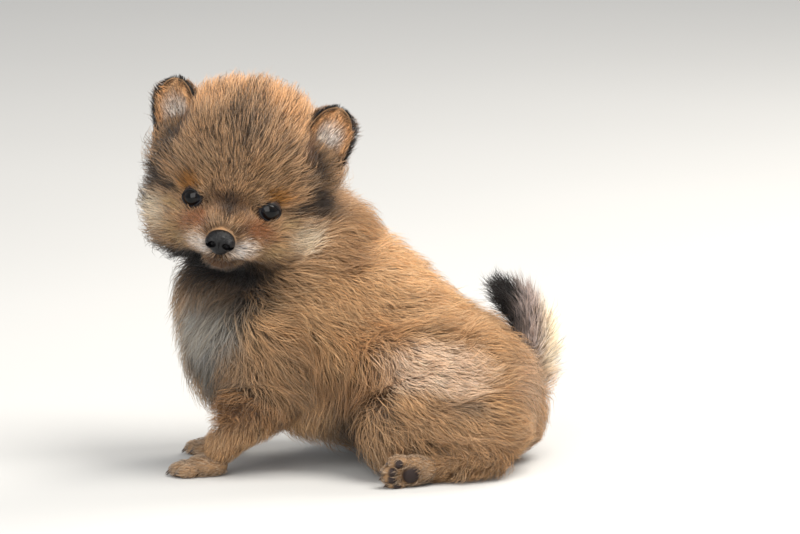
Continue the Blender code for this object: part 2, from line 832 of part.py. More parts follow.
def sound(rings):
    """Whether a lock bends gently and none of its faces crosses another."""
    for first, second in zip(rings, rings[1:]):
        if first[3].dot(second[3]) < MOST_BEND or first[1].dot(second[1]) < MOST_BEND:
            return False
    plain, faces = lock_surface(rings)
    grown_points = moved_out(plain, faces, GAP)
    if np.linalg.norm(grown_points - np.array(plain), axis=1).max() > MOST_SHIFT * GAP:
        return False
    for points in (plain, grown_points):
        tree = BVHTree.FromPolygons([tuple(point) for point in points], faces)
        if any(not set(faces[a]) & set(faces[b]) for a, b in tree.overlap(tree)):
            return False
    return True


def body_lie(point, normal):
    """The coat of the body lies back and down, and straight down on the front of the chest."""
    front = float(smoothstep(-0.1, 0.7, -normal.y))
    guide = Vector((0, 0.8, -0.6)).lerp(Vector((0, 0.1, -1)), front)
    return guide


def head_lie(point, normal):
    """The coat of the head lies away from the nose."""
    return point - on_head((46, 0, -18))


def tail_lie(point, normal):
    """The coat of the tail lies along it, to its tip."""
    middles = [Vector(row[:3]) for row in TAIL_LINE]
    nearest = min(range(len(middles) - 1), key=lambda i: (point - (middles[i] + middles[i + 1]) / 2).length)
    return middles[nearest + 1] - middles[nearest]


def lie_at(point, normal):
    return head_lie(point, normal) if within("head", point) else body_lie(point, normal)


def tail_kind(point):
    return "tail"


def in_tail_root(point):
    return point.z < TAIL_ROOT_TOP


def within(name, point):
    """Whether a point is on the far side of a parting surface."""
    if name.startswith("thigh"):
        offset = point - thigh_centre(1 if name.endswith("left") else -1)
        return sum((c / r) ** 2 for c, r in zip(offset, THIGH_RADII)) < 1
    apex, axis = PARTING[name]
    axis = Vector(axis).normalized()
    offset = point - Vector(apex)
    height = offset.dot(axis)
    radius = (offset - axis * height).length
    return height > PARTING_SLOPE * min(radius, PARTING_RIM)


PARTING_ORDER = ("head", "neck", "chest", "thigh_left", "thigh_right", "barrel")


def owner(point):
    for name in PARTING_ORDER:
        if within(name, point):
            return name
    return "rump"


def grow_locks(core, outline, kind_at, owner_at, lie_at_place, draw, bare):
    """Spreads locks over a core as evenly as chance allows, and gives the spines of each owner."""
    core_tree, outline_tree = tree_of(core), tree_of(outline)
    mesh = core.data
    mesh.calc_loop_triangles()
    triangles = list(mesh.loop_triangles)
    chosen = []
    spines = {}
    for triangle in draw.choices(triangles, weights=[t.area for t in triangles], k=LOCK_TRIES):
        a, b = draw.random(), draw.random()
        if a + b > 1:
            a, b = 1 - a, 1 - b
        first, second, third = (mesh.vertices[v].co / MM for v in triangle.vertices)
        point = first + (second - first) * a + (third - first) * b
        normal = triangle.normal.copy()
        kind = kind_at(point)
        spacing, length, width = LOCK_SIZES[kind]
        if any((point - other).length < (spacing + reach) / 2 for other, reach in chosen):
            continue
        hit = outline_tree.ray_cast(point + normal * 0.2, normal, 40)
        if hit[0] is None or hit[3] < LEAST_REACH or bare(point):
            continue
        guide = lie_at_place(point, normal)
        flat = guide - normal * guide.dot(normal)
        if flat.length < guide.length * 0.12:
            flat = Vector((0, 1, -0.4)) - normal * Vector((0, 1, -0.4)).dot(normal)
        flat = Matrix.Rotation(draw.uniform(-LIE_WANDER, LIE_WANDER), 3, normal) @ flat.normalized()
        scale = draw.uniform(0.85, 1.15)
        spine = lock_spine(point, normal, flat, length * scale, width * scale, core_tree, outline_tree)
        if sound(spine):
            chosen.append((point, spacing))
            spines.setdefault(owner_at(point), []).append(spine)
    return spines


def near(spine, item, margin=18.0):
    """Whether a lock may touch the box around a mesh."""
    points = np.array([vertex.co for vertex in item.data.vertices]) / MM
    low, high = points.min(axis=0) - margin, points.max(axis=0) + margin
    return any(all(low <= np.array(ring[0])) and all(np.array(ring[0]) <= high) for ring in spine)


# Materials

MATERIALS = {
    "coat": ((0.50, 0.30, 0.15), 0.85),
    "ear": ((0.12, 0.07, 0.05), 0.85),
    "eye": ((0.010, 0.008, 0.008), 0.08),
    "nose": ((0.020, 0.018, 0.020), 0.42),
    "chin": ((0.48, 0.40, 0.30), 0.85),
    "ruff": ((0.42, 0.27, 0.16), 0.85),
    "tail": ((0.10, 0.08, 0.07), 0.85),
    "paw": ((0.46, 0.32, 0.21), 0.85),
}


def paint(item, kind):
    colour, roughness = MATERIALS[kind]
    material = bpy.data.materials.get(kind) or bpy.data.materials.new(kind)
    material.use_nodes = True
    shader = material.node_tree.nodes["Principled BSDF"]
    shader.inputs["Base Color"].default_value = (*colour, 1)
    shader.inputs["Roughness"].default_value = roughness
    shader.inputs["Metallic"].default_value = 0
    item.data.materials.clear()
    item.data.materials.append(material)


def finish_node(item, name, kind):
    combine(item, [floor_block()], "DIFFERENCE")
    keep_largest(item)
    item.name = name
    paint(item, kind)
    item.data.shade_smooth()
    item.data.set_sharp_from_angle(angle=math.radians(50))
    return item


def stand_at_origin(nodes):
    """Moves the whole model so that the origin is under the middle of its box."""
    points = np.array([vertex.co for item in nodes for vertex in item.data.vertices])
    middle = (points.min(axis=0) + points.max(axis=0)) / 2
    for item in nodes:
        item.data.transform(Matrix.Translation((-middle[0], -middle[1], 0)))


NODE_OF = {"barrel": "belly_and_back"}


def lock_kind(point):
    return "head" if within("head", point) else "body"


def near_eye(point):
    return any((point - on_head(EYE_PLACE, side)).length < 15 for side in (1, -1))


def seats(name):
    """What is cut from a node of flesh for the pieces set into it, apart from the other nodes of flesh."""
    if name == "head":
        cuts = [jaw_region(0, GAP), nose(GAP), philtrum()]
        for side in (1, -1):
            cuts += [eye(side, GAP), eye_opening(side), ear(side, GAP)]
        return cuts
    if name == "thigh_left":
        return [hind_leg(1, GAP), paw("paw_gap", grow=GAP, **PAWS["hind_left"])]
    if name == "thigh_right":
        return [hind_leg(-1, GAP), paw("paw_gap", grow=GAP, **PAWS["hind_right"])]
    cuts = [front_leg(1, LEG_GAP), front_leg(-1, LEG_GAP), hind_leg(1, LEG_GAP), hind_leg(-1, LEG_GAP)]
    if name in ("rump", "barrel"):
        cuts.append(tail_shape(TAIL_CORE + GAP))
    return cuts


def region_of(name, shift=0.0):
    if name.startswith("thigh"):
        return thigh_region(1 if name.endswith("left") else -1, shift)
    return region(name, shift)


def flesh_node(name, source, spines, tail_spines):
    """One node of the body: its share of the core and its own locks, cut clear of the nodes before it."""
    node = copy_of(source, name)
    if name != "rump":
        combine(node, [region_of(name)], "INTERSECT")
    combine(node, [lock_mesh(spine) for spine in spines.get(name, [])], "UNION")
    if name == "head":
        combine(node, [lid_ring(1), lid_ring(-1)], "UNION")
    before = PARTING_ORDER[: PARTING_ORDER.index(name)] if name in PARTING_ORDER else PARTING_ORDER
    cuts = [region_of(other, PARTING_GAP) for other in before]
    for other in before:
        cuts += [lock_mesh(spine, GAP) for spine in spines.get(other, []) if near(spine, node)]
    if name in ("rump", "barrel", "thigh_left", "thigh_right"):
        cuts += [lock_mesh(spine, GAP) for spine in tail_spines if near(spine, node)]
    combine(node, cuts + seats(name), "DIFFERENCE")
    kind = "ruff" if name == "neck" else "coat"
    return finish_node(node, NODE_OF.get(name, name), kind)


def make_tail(draw):
    """The tail with its own locks, which start above the root, and their spines."""
    tail, outline = tail_shape(TAIL_CORE), tail_shape(TAIL_OUTLINE)
    spines = grow_locks(tail, outline, tail_kind, tail_kind, tail_lie, draw, in_tail_root)["tail"]
    combine(tail, [lock_mesh(spine) for spine in spines], "UNION")
    discard(outline)
    return tail, spines


def make_jaw(core):
    """The lower jaw, up to the line of the mouth."""
    jaw = copy_of(core, "jaw")
    combine(jaw, [jaw_region(GAP)], "INTERSECT")
    combine(jaw, [region("head")], "INTERSECT")
    combine(jaw, [nose(GAP)], "DIFFERENCE")
    return finish_node(jaw, "lower_jaw", "chin")


def limb_nodes(end, leg, leg_name, word):
    """A lower leg, cut clear of its paw, and the paw."""
    stance = PAWS[f"{end}_{word}"]
    combine(leg, [paw("paw_gap", grow=GAP, **stance)], "DIFFERENCE")
    return [
        finish_node(leg, f"{leg_name}_{word}", "paw"),
        finish_node(paw("foot", **stance), f"{end}_paw_{word}", "paw"),
    ]


def main():
    for item in list(bpy.data.objects):
        bpy.data.objects.remove(item)
    draw = random.Random(SEED)
    skin = voxelised("skin", flesh_pieces(), VOXEL, 14)
    outline = grown(skin, "outline", coat_depth, VOXEL)
    core = grown(skin, "core", core_depth, VOXEL)
    decimated(core, FACE_TRIANGLES)
    decimated(core, CORE_TRIANGLES, face_fineness)
    spines = grow_locks(core, outline, lock_kind, owner, lie_at, draw, near_eye)
    discard(skin, outline)
    tail, tail_spines = make_tail(draw)
    nodes = [finish_node(tail, "tail", "tail"), make_jaw(core)]
    nodes += [flesh_node(name, core, spines, tail_spines) for name in (*PARTING_ORDER, "rump")]
    discard(core)
    for side, word in ((1, "left"), (-1, "right")):
        nodes += limb_nodes("front", front_leg(side), "front_leg", word)
        nodes += limb_nodes("hind", hind_leg(side), "hind_foot", word)
        nodes.append(finish_node(eye(side), f"eye_{word}", "eye"))
        nodes.append(finish_node(ear(side), f"ear_{word}", "ear"))
    nodes.append(finish_node(nose(), "nose", "nose"))
    stand_at_origin(nodes)


main()
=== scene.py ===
"""The looks of a sitting Pomeranian puppy: its skin, eyes, nose and claws, and a coat of solid tufts.

Lengths are millimetres in the anatomy's own frame until a piece is settled in the model. The body
faces -Y, the dog's left is +X and the floor is z = 0."""

import json
import math

import bmesh
import bpy
import numpy as np
from mathutils import Matrix, Vector
from mathutils.bvhtree import BVHTree
from mathutils.kdtree import KDTree

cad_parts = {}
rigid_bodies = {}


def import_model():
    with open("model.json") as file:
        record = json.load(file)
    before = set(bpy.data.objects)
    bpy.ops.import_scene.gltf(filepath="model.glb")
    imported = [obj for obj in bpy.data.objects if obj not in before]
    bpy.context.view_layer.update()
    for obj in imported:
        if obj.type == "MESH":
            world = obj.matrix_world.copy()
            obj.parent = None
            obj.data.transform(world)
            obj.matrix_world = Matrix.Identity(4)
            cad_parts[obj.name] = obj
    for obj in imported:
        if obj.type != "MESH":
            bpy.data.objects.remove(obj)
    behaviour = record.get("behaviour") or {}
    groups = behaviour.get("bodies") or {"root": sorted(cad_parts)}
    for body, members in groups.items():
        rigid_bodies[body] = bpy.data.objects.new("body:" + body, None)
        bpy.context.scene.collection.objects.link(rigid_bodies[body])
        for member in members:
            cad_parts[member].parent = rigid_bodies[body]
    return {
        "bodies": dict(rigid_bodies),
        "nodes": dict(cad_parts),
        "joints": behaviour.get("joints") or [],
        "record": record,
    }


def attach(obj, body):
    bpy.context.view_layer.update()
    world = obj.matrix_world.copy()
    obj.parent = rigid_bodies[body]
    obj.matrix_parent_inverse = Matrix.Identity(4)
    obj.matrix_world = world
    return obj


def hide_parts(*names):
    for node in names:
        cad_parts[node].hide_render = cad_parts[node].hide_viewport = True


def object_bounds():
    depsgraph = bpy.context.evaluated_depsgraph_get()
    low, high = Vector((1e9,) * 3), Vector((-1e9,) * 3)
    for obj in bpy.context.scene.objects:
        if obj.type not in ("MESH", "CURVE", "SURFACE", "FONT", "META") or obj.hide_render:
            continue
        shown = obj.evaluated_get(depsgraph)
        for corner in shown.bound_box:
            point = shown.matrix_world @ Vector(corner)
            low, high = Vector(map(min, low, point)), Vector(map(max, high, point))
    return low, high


MM = 0.001
SEED = 7

# The head's own frame: where its centre is, and how it is turned, nodded and tilted
HEAD_CENTRE = Vector((12, -56, 141.7))
HEAD_TURN = math.radians(76)
HEAD_NOD = math.radians(5)
HEAD_TILT = math.radians(9.5)

# Coat depths, from the skin to the tips
FACE_COAT = 2.2
HEAD_COAT = 16.5
BODY_COAT = 17.0
RUFF_EXTRA = 3.5
THIGH_COAT = 13.0
BELLY_COAT = 9.0
FLOOR_COAT = 4.0
LEG_COAT = 2.4
FEATHER = 12.0
HANGING_COAT = 6.0
PAW_COAT = 1.7
TAIL_COAT = 15.0
EAR_COAT = 5.0
EAR_FILL = 4.0

# Tufts to each square millimetre of skin
BODY_DENSITY = 1.35
HEAD_DENSITY = 1.9
FACE_DENSITY = 4.0
LEG_DENSITY = 1.2
TAIL_DENSITY = 3.2
PAW_DENSITY = 1.7
EAR_DENSITY = {"inner": 2.6, "outer": 3.4}
MOST_TRIANGLES = 190000

# A tuft's spine: shares of its way along the skin, and of its height, at each of its points
STATIONS = (0.0, 0.34, 0.70, 1.0)
HEIGHTS = (0.0, 0.52, 0.86, 1.0)
ROOT_SINK = 0.6
UV_PATCH = 0.003

# Guard hair grows only where the coat is deeper than SHORT_COAT, and reaches past the undercoat
SHORT_COAT = 5.0
GUARD_SHARE = 0.25
GUARD_LEVEL = (0.86, 1.12)
UNDER_LEVEL = (0.62, 1.0)

# The turn of the woolly coat's lie, and the size of its whorls
SWIRL = 0.45
SWIRL_SIZE = 24

# How far hair may pass the model's box, as a share of each side
BOX_GROWTH = 0.027

# How far the hair of the legs and tail lies along the skin, and the shares of dark hair
LEG_TRAVEL = 6.0
TAIL_TRAVEL = 9.0
BODY_DARK = 0.03
LEG_DARK = 0.05
TAIL_DARK = 0.12
EAR_DARK = 0.08

# Shades of a tuft at its root and tip and of a dark tuft, as shares of its marking's colour
ROOT_SHADE = 0.70
TIP_SHADE = 1.15
DARK_HAIR = 0.22
TONE_SPREAD = 0.13
MARK_BLUR = 1.3

# The face, in the head's frame: forward, left, up
FACE_POINT = (44, 0, -10)
FACE_REACH = (22, 60)
NOSE_TIP = (46, 0, -18)
EYE_PLACE = (23.2, 18.2, -2.0)
EYE_RADIUS = 7.0
EYE_LOOK = Vector((0.93, 0.34, 0.05)).normalized()
LID_OPENING = (4.4, 4.1)
LID_THICK = 0.38
EYE_BARE = 5.1
EYE_REACH = 22
NOSE_PLACE = (48.8, 0, -15.0)
NOSE_RADII = (5.0, 7.3, 6.2)
MOUTH_LINE = [(62, -24.4), (48, -25.2), (42, -24.6), (36, -24.4), (31, -25.4), (26, -27.0)]

# Sizes of the voxels that merge the forms, rounds of smoothing, and room kept above the floor
SKIN_VOXEL = 1.45
SKIN_SMOOTHING = 30
FLOOR_CLEARANCE = 0.4
SOLE_CLEARANCE = 0.2
TORSO_VOXEL = 2.4
TORSO_SMOOTHING = 8
PAW_VOXEL = 0.55
NOSE_VOXEL = 0.3

# The camera of the photo: a long lens that looks down on the puppy a little
CAMERA_AZIMUTH = math.radians(84)
CAMERA_ELEVATION = math.radians(10)
CAMERA_DISTANCE = 6000
CAMERA_LENS = 540
VIEW_RIGHT, VIEW_UP = 25, 97

# The studio, in metres: each light's name, place, size, power in watts and colour
FLOOR_SIZE = 12.0
LIGHTS = [
    ("key", (0.45, 0.55, 1.45), 1.0, 32, (1.0, 0.96, 0.90)),
    ("front", (1.5, -0.8, 0.9), 1.5, 28, (1.0, 0.98, 0.95)),
    ("rear", (-0.7, 0.9, 1.0), 0.6, 14, (1.0, 0.95, 0.88)),
]

SIDES = {1: "left", -1: "right"}


def head_axes():
    """Forward, left and up of the head, as unit vectors of the world."""
    level = Vector((math.sin(HEAD_TURN), -math.cos(HEAD_TURN), 0))
    up = Vector((0, 0, 1))
    forward = level * math.cos(HEAD_NOD) - up * math.sin(HEAD_NOD)
    left = up.cross(level)
    crown = forward.cross(left)
    leaning_left = left * math.cos(HEAD_TILT) - crown * math.sin(HEAD_TILT)
    leaning_up = crown * math.cos(HEAD_TILT) + left * math.sin(HEAD_TILT)
    return forward, leaning_left, leaning_up


FORWARD, LEFT, UP = head_axes()
HEAD_MATRIX = Matrix((FORWARD, LEFT, UP)).transposed().to_4x4()
HEAD_MATRIX.translation = HEAD_CENTRE
HEAD_AXES = np.array((FORWARD, LEFT, UP))


def on_head(place, side=1):
    """A point of the head's frame in the world, on the dog's left for side 1 and its right for -1."""
    ahead, left, up = place
    return HEAD_MATRIX @ Vector((ahead, left * side, up))


def in_head(points):
    """World points as rows of forward, left and up."""
    return (points - np.array(HEAD_CENTRE)) @ HEAD_AXES.T


def smoothstep(low, high, value):
    """0 up to low, 1 from high on, and a smooth rise between them."""
    share = np.clip((value - low) / (high - low), 0, 1)
    return share * share * (3 - 2 * share)


def unit(rows):
    """Rows of the same direction with a length of 1."""
    return rows / np.maximum(np.linalg.norm(rows, axis=-1, keepdims=True), 1e-9)


def dots(first, second):
    """The dot product of each row of one array with the same row of the other."""
    return (first * second).sum(axis=1)


def flattened(flow, normals):
    """The part of each row of flow that lies along the skin, as a unit vector."""
    return unit(flow - normals * dots(flow, normals)[:, None])


def ripple(points, size, seed):
    """Smooth values between about -1 and 1 that change over about size millimetres."""
    draw = np.random.default_rng(seed)
    total = np.zeros(len(points))
    for _ in range(7):
        direction = unit(draw.normal(size=3)) * (2 * math.pi / size) * draw.uniform(0.6, 1.6)
        total += np.sin(points @ direction + draw.uniform(0, 2 * math.pi))
    return total / 3.2


# Meshes


def linked(mesh):
    made = bpy.data.objects.new(mesh.name, mesh)
    bpy.context.scene.collection.objects.link(made)
    return made


def mesh_object(name, points, faces):
    """A new object from points in millimetres, with its faces turned outwards."""
    mesh = bpy.data.meshes.new(name)
    mesh.from_pydata([tuple(p) for p in np.asarray(points, float) * MM], [], faces)
    shape = bmesh.new()
    shape.from_mesh(mesh)
    bmesh.ops.recalc_face_normals(shape, faces=shape.faces)
    if shape.calc_volume(signed=True) < 0:
        bmesh.ops.reverse_faces(shape, faces=shape.faces)
    shape.to_mesh(mesh)
    shape.free()
    return linked(mesh)


def vertex_rows(mesh, what="co"):
    """The place or the normal of each vertex, as rows."""
    rows = np.empty(len(mesh.vertices) * 3)
    mesh.vertices.foreach_get(what, rows)
    return rows.reshape(-1, 3)


def discard(*objects):
    for item in objects:
        mesh = item.data
        bpy.data.objects.remove(item)
        if mesh.users == 0:
            bpy.data.meshes.remove(mesh)


def apply_modifiers(item):
    graph = bpy.context.evaluated_depsgraph_get()
    made = bpy.data.meshes.new_from_object(item.evaluated_get(graph))
    old = item.data
    item.modifiers.clear()
    item.data = made
    bpy.data.meshes.remove(old)
    return item


def cut_out(item, others):
    """Cuts closed mesh objects out of item in one Boolean, and removes those objects."""
    group = bpy.data.collections.new("pieces")
    for other in others:
        group.objects.link(other)
    cut = item.modifiers.new("cut", "BOOLEAN")
    cut.operand_type = "COLLECTION"
    cut.collection = group
    cut.operation = "DIFFERENCE"
    cut.solver = "MANIFOLD"
    apply_modifiers(item)
    discard(*others)
    bpy.data.collections.remove(group)
    return item


def softened(item, iterations):
    """Smooths a mesh, and applies the modifiers that it has."""
    soften = item.modifiers.new("soften", "SMOOTH")
    soften.factor = 0.5
    soften.iterations = iterations
    return apply_modifiers(item)


def merged(name, pieces):
    """One object that holds the meshes of several."""
    shape = bmesh.new()
    for piece in pieces:
        shape.from_mesh(piece.data)
    mesh = bpy.data.meshes.new(name)
    shape.to_mesh(mesh)
    shape.free()
    discard(*pieces)
    return linked(mesh)


def voxelised(name, pieces, voxel, smoothing):
    """Closed pieces merged to one skin by a voxel remesh, then smoothed."""
    made = merged(name, pieces)
    remesh = made.modifiers.new("remesh", "REMESH")
    remesh.mode = "VOXEL"
    remesh.voxel_size = voxel * MM
    return softened(made, smoothing)


def curve_through(rows, steps):
    """Catmull-Rom rows between the given ones, steps to each stretch."""
    rows = np.asarray(rows, float)
    padded = np.vstack((2 * rows[0] - rows[1], rows, 2 * rows[-1] - rows[-2]))
    made = []
    for first in range(len(rows) - 1):
        a, b, c, d = padded[first : first + 4]
        for step in range(steps):
            t = step / steps
            row = 2 * b + (c - a) * t + (2 * a - 5 * b + 4 * c - d) * t * t
            made.append((row + (3 * b - a - 3 * c + d) * t**3) / 2)
    made.append(rows[-1])
    return np.array(made)


def tube(name, stations, across=(1, 0, 0), sides=24, steps=6, caps=5):
    """A closed round-ended tube. A station is x, y, z, half width along across, and half depth."""
    rows = curve_through(stations, steps)
    along = unit(np.gradient(rows[:, :3], axis=0))
    rings = [(row[:3], direction, row[3], row[4]) for row, direction in zip(rows, along)]
    angles = [math.pi / 2 * step / caps for step in range(caps - 1, 0, -1)]

    def domed(end, sign):
        centre, direction, width, depth = end
        reach = sign * min(width, depth)
        return [
            (centre + direction * reach * math.sin(a), direction, width * math.cos(a), depth * math.cos(a))
            for a in angles
        ]

    rings = domed(rings[0], -1) + rings + domed(rings[-1], 1)[::-1]
    points = []
    for centre, direction, width, depth in rings:
        side = np.array(across, float)
        side = unit(side - direction * (side @ direction))
        third = np.cross(direction, side)
        for step in range(sides):
            turn = 2 * math.pi * step / sides
            points.append(centre + side * width * math.cos(turn) + third * depth * math.sin(turn))
    first, last = rows[0], rows[-1]
    points.append(first[:3] - along[0] * min(first[3], first[4]))
    points.append(last[:3] + along[-1] * min(last[3], last[4]))
    return mesh_object(name, points, drum_faces(len(rings), sides, len(points)))


def drum_faces(rings, sides, points):
    """Faces of stacked rings, closed by the last two points at the first and the last ring."""
    faces = []
    for ring in range(rings - 1):
        for step in range(sides):
            a = ring * sides + step
            b = ring * sides + (step + 1) % sides
            faces.append((a, b, b + sides, a + sides))
    top = (rings - 1) * sides
    for step in range(sides):
        after = (step + 1) % sides
        faces.append((after, step, points - 2))
        faces.append((top + step, top + after, points - 1))
    return faces


def ball(name, centre, radii, matrix=None, detail=4):
    """An ellipsoid from an icosphere, with its radii along the world's axes or along matrix."""
    shape = bmesh.new()
    bmesh.ops.create_icosphere(shape, subdivisions=detail, radius=1)
    turn = matrix.to_3x3() if matrix else Matrix.Identity(3)
    for vertex in shape.verts:
        vertex.co = (Vector(centre) + turn @ Vector([c * r for c, r in zip(vertex.co, radii)])) * MM
    mesh = bpy.data.meshes.new(name)
    shape.to_mesh(mesh)
    shape.free()
    return linked(mesh)


def head_ball(name, place, radii, side=1, detail=4):
    return ball(name, on_head(place, side), radii, HEAD_MATRIX, detail)


def axis_matrix(axis, across=(1, 0, 0)):
    """A rotation whose Z is axis and whose X is nearest to across."""
    third = Vector(axis).normalized()
    first = Vector(across)
    first = (first - third * first.dot(third)).normalized()
    return Matrix((first, third.cross(first), third)).transposed()


# The flesh. A row of a limb's line is x, y, z, half width and half depth, without the mirrored side's sign

FRONT_LEGS = {
    1: [(27, -44, 42, 10, 10), (31, -51, 32, 12, 13), (31, -61, 21, 10.5, 11), (30, -69, 12, 8.4, 9)],
    -1: [(-26, -41, 42, 10, 10), (-29, -44, 32, 12, 13), (-29, -51, 21, 10.5, 11), (-27, -56, 12, 8.4, 9)],
}
HIND_LEGS = {
    1: [(50, 66, 13, 9, 9.5), (57, 56, 9.5, 8, 8.2), (62, 40, 9, 7.2, 7.6), (67, 28, 9, 6.8, 7.4)],
    -1: [(-42, 66, 13, 9, 9.5), (-46, 56, 8.5, 8, 8), (-49, 40, 7, 7.4, 7), (-51, 28, 6.5, 7.2, 6.2)],
}
TAIL_LINE = [
    (0, 80, 38, 8, 8),
    (0, 90, 50, 7, 7),
    (-2, 92, 62, 6, 6),
    (-3, 88, 73, 5, 5),
    (-4, 81, 81, 3.6, 3.6),
]
TORSO_LINE = [
    (0, -44, 86, 29, 31),
    (0, -20, 74, 34, 38),
    (0, 8, 60, 35, 37),
    (0, 35, 47, 37, 28),
    (0, 57, 34, 34, 23),
    (0, 70, 23.6, 26, 20),
]
NECK_LINE = [(0, -33, 90, 31, 35), (2, -38, 110, 29, 31), (7, -48, 128, 27, 26), (10, -54, 138, 26, 25)]
THIGH_LINE = [(25, 60, 42, 20, 20), (34, 40, 34, 17, 20), (43, 20, 27, 13, 15)]
CALF_LINE = [(38, 64, 26, 17, 15), (45, 46, 21, 13, 12), (50, 31, 17, 9, 9)]
CALF_OUT = {1: 1.0, -1: 0.86}
PAWS = [
    dict(wrist=(30, -70, 4.9), ahead=(0.0, -1, -0.05), sole=(0, 0, -1)),
    dict(wrist=(-26.5, -57, 4.9), ahead=(-0.05, -1, -0.05), sole=(0, 0, -1)),
    dict(wrist=(68, 30, 8.0), ahead=(0.28, -1, -0.02), sole=(0.94, 0.25, -0.25)),
    dict(wrist=(-51, 28, 4.9), ahead=(-0.08, -1, -0.05), sole=(0, 0, -1)),
]


def torso_pieces():
    """Muscle and bone of the head, neck and body as overlapping round forms."""
    pieces = [tube("torso", TORSO_LINE), ball("breast", (0, -49, 73), (27, 23, 33))]
    pieces += [tube("neck", NECK_LINE), ball("nape", (2, -17, 104), (24, 21, 18))]
    for side in SIDES:
        pieces.append(ball("shoulder", (24 * side, -42, 66), (13, 20, 28)))
        pieces.append(tube("thigh", [(x * side, *row) for x, *row in THIGH_LINE]))
        pieces.append(ball("flank", (31 * side, 27, 50), (13, 27, 19)))
        pieces.append(tube("calf", [(x * side * CALF_OUT[side], *row) for x, *row in CALF_LINE]))
    return pieces + head_pieces()


def head_pieces():
    """Skull, cheeks, brows, lips, the bridge of the nose and the chin."""
    pieces = [head_ball("skull", (-4, 0, 9), (35, 33, 33)), head_ball("forehead", (11, 0, 8), (21, 26, 22))]
    for side in SIDES:
        pieces.append(head_ball("cheek", (3, 20, -13), (22, 16.5, 18), side))
        pieces.append(head_ball("temple", (-3, 19, 4), (25, 15, 24), side))
        pieces.append(head_ball("brow", (23, 12, 4), (8, 8, 6), side))
        pieces.append(head_ball("cheek front", (17, 18, -15), (15, 13, 12), side))
        pieces.append(head_ball("jowl", (27, 11.5, -16.5), (13, 9.5, 9), side))
        pieces.append(head_ball("lip", (36, 6, -16.5), (10.5, 7, 7.5), side))
        pieces.append(head_ball("ear base", (-7, 31, 14), (8, 10, 12), side))
    pieces.append(head_ball("philtrum", (39.5, 0, -19.5), (7.5, 6.5, 5.8)))
    bridge = [(18, 0, -8), (30, 0, -12), (40, 0, -14.5), (44.5, 0, -16)]
    widths = [(17, 15), (13, 11), (9.5, 8), (7.5, 6.5)]
    pieces.append(tube("bridge", [(*on_head(p), *w) for p, w in zip(bridge, widths)], across=LEFT))
    chin = [(18, 0, -24), (29, 0, -26.0), (37, 0, -26.6)]
    widths = [(14, 9.5), (9, 5.5), (5.2, 3.6)]
    pieces.append(tube("chin", [(*on_head(p), *w) for p, w in zip(chin, widths)], across=LEFT))
    return pieces


def limb_pieces():
    """The lower legs, thinner than the model's by their coat."""
    pieces = []
    for line in (*FRONT_LEGS.values(), *HIND_LEGS.values()):
        pieces.append(tube("leg", [(x, y, z, w - LEG_COAT, d - LEG_COAT) for x, y, z, w, d in line]))
    return pieces


def paw_frame(stance):
    """Where the wrist is, and the unit vectors ahead, beside and down through the sole."""
    ahead = Vector(stance["ahead"]).normalized()
    sole = Vector(stance["sole"])
    sole = (sole - ahead * sole.dot(ahead)).normalized()
    return Vector(stance["wrist"]), ahead, sole.cross(ahead), sole


# Each toe's place beside the middle, and its share of the longest toes' reach
TOES = ((-1.5, 0.72), (-0.5, 1.0), (0.5, 1.0), (1.5, 0.72))
TOE_SPREAD = 4.1
TOE_START = 7
TOE_LENGTH = 10.5
TOE_DROP = 1.2


def toe_centres(stance):
    """The middle of each toe, from the outer one of one side to that of the other."""
    wrist, ahead, beside, sole = paw_frame(stance)
    centres = []
    for place, reach in TOES:
        forward = wrist + ahead * (TOE_START + TOE_LENGTH * reach)
        centres.append(forward + beside * (place * TOE_SPREAD) + sole * TOE_DROP)
    return centres


def pad_places(stance):
    """Centre and radii of each pad under a foot: one under each toe and the large one behind them."""
    wrist, ahead, _, sole = paw_frame(stance)
    pads = [(centre + sole * 2.5 + ahead * 1.0, (2.5, 1.9, 1.8)) for centre in toe_centres(stance)]
    pads.append((wrist + ahead * 8.5 + sole * 4.0, (4.0, 4.8, 2.3)))
    return pads


def make_paw(stance):
    """A foot of a palm, a wrist, four toes and pads, pressed flat where it meets the floor."""
    wrist, ahead, beside, sole = paw_frame(stance)
    frame = Matrix((ahead, beside, sole)).transposed()
    pieces = [ball("palm", wrist + ahead * 6, (8.9, 7.4, 4.9), frame)]
    pieces.append(ball("wrist", wrist + ahead * 0.5, (6.5, 6.0, 4.6), frame))
    for centre in toe_centres(stance):
        pieces.append(ball("toe", centre, (5.1, 2.5, 3.1), frame))
    for centre, radii in pad_places(stance):
        pieces.append(ball("pad", centre, radii, frame))
    return on_floor(voxelised("paw", pieces, PAW_VOXEL, 3))


def on_floor(item):
    """Presses flat what would reach below the floor."""
    for vertex in item.data.vertices:
        vertex.co.z = max(vertex.co.z, SOLE_CLEARANCE * MM)
    return item


CLAW_START = 3.2
CLAW_LENGTH = 4.8
CLAW_RISE = 0.6
CLAW_BEND = 2.4
CLAW_RADIUS = 0.95


def make_claw(centre, ahead, sole, sides=10, rings=7):
    """A short cone that comes out of the toe at centre and bends down to its tip."""
    points = []
    for ring in range(rings):
        t = ring / rings
        middle = centre + ahead * (CLAW_START + CLAW_LENGTH * t) + sole * (CLAW_BEND * t * t - CLAW_RISE)
        frame = axis_matrix(ahead * CLAW_LENGTH + sole * (2 * CLAW_BEND * t))
        radius = CLAW_RADIUS * (1 - t) ** 0.7
        for step in range(sides):
            turn = 2 * math.pi * step / sides
            points.append(middle + frame @ Vector((math.cos(turn), math.sin(turn), 0)) * radius)
    points.append(centre + ahead * CLAW_START - sole * CLAW_RISE)
    points.append(centre + ahead * (CLAW_START + CLAW_LENGTH) + sole * (CLAW_BEND - CLAW_RISE))
    return mesh_object("claw", points, drum_faces(rings, sides, len(points)))


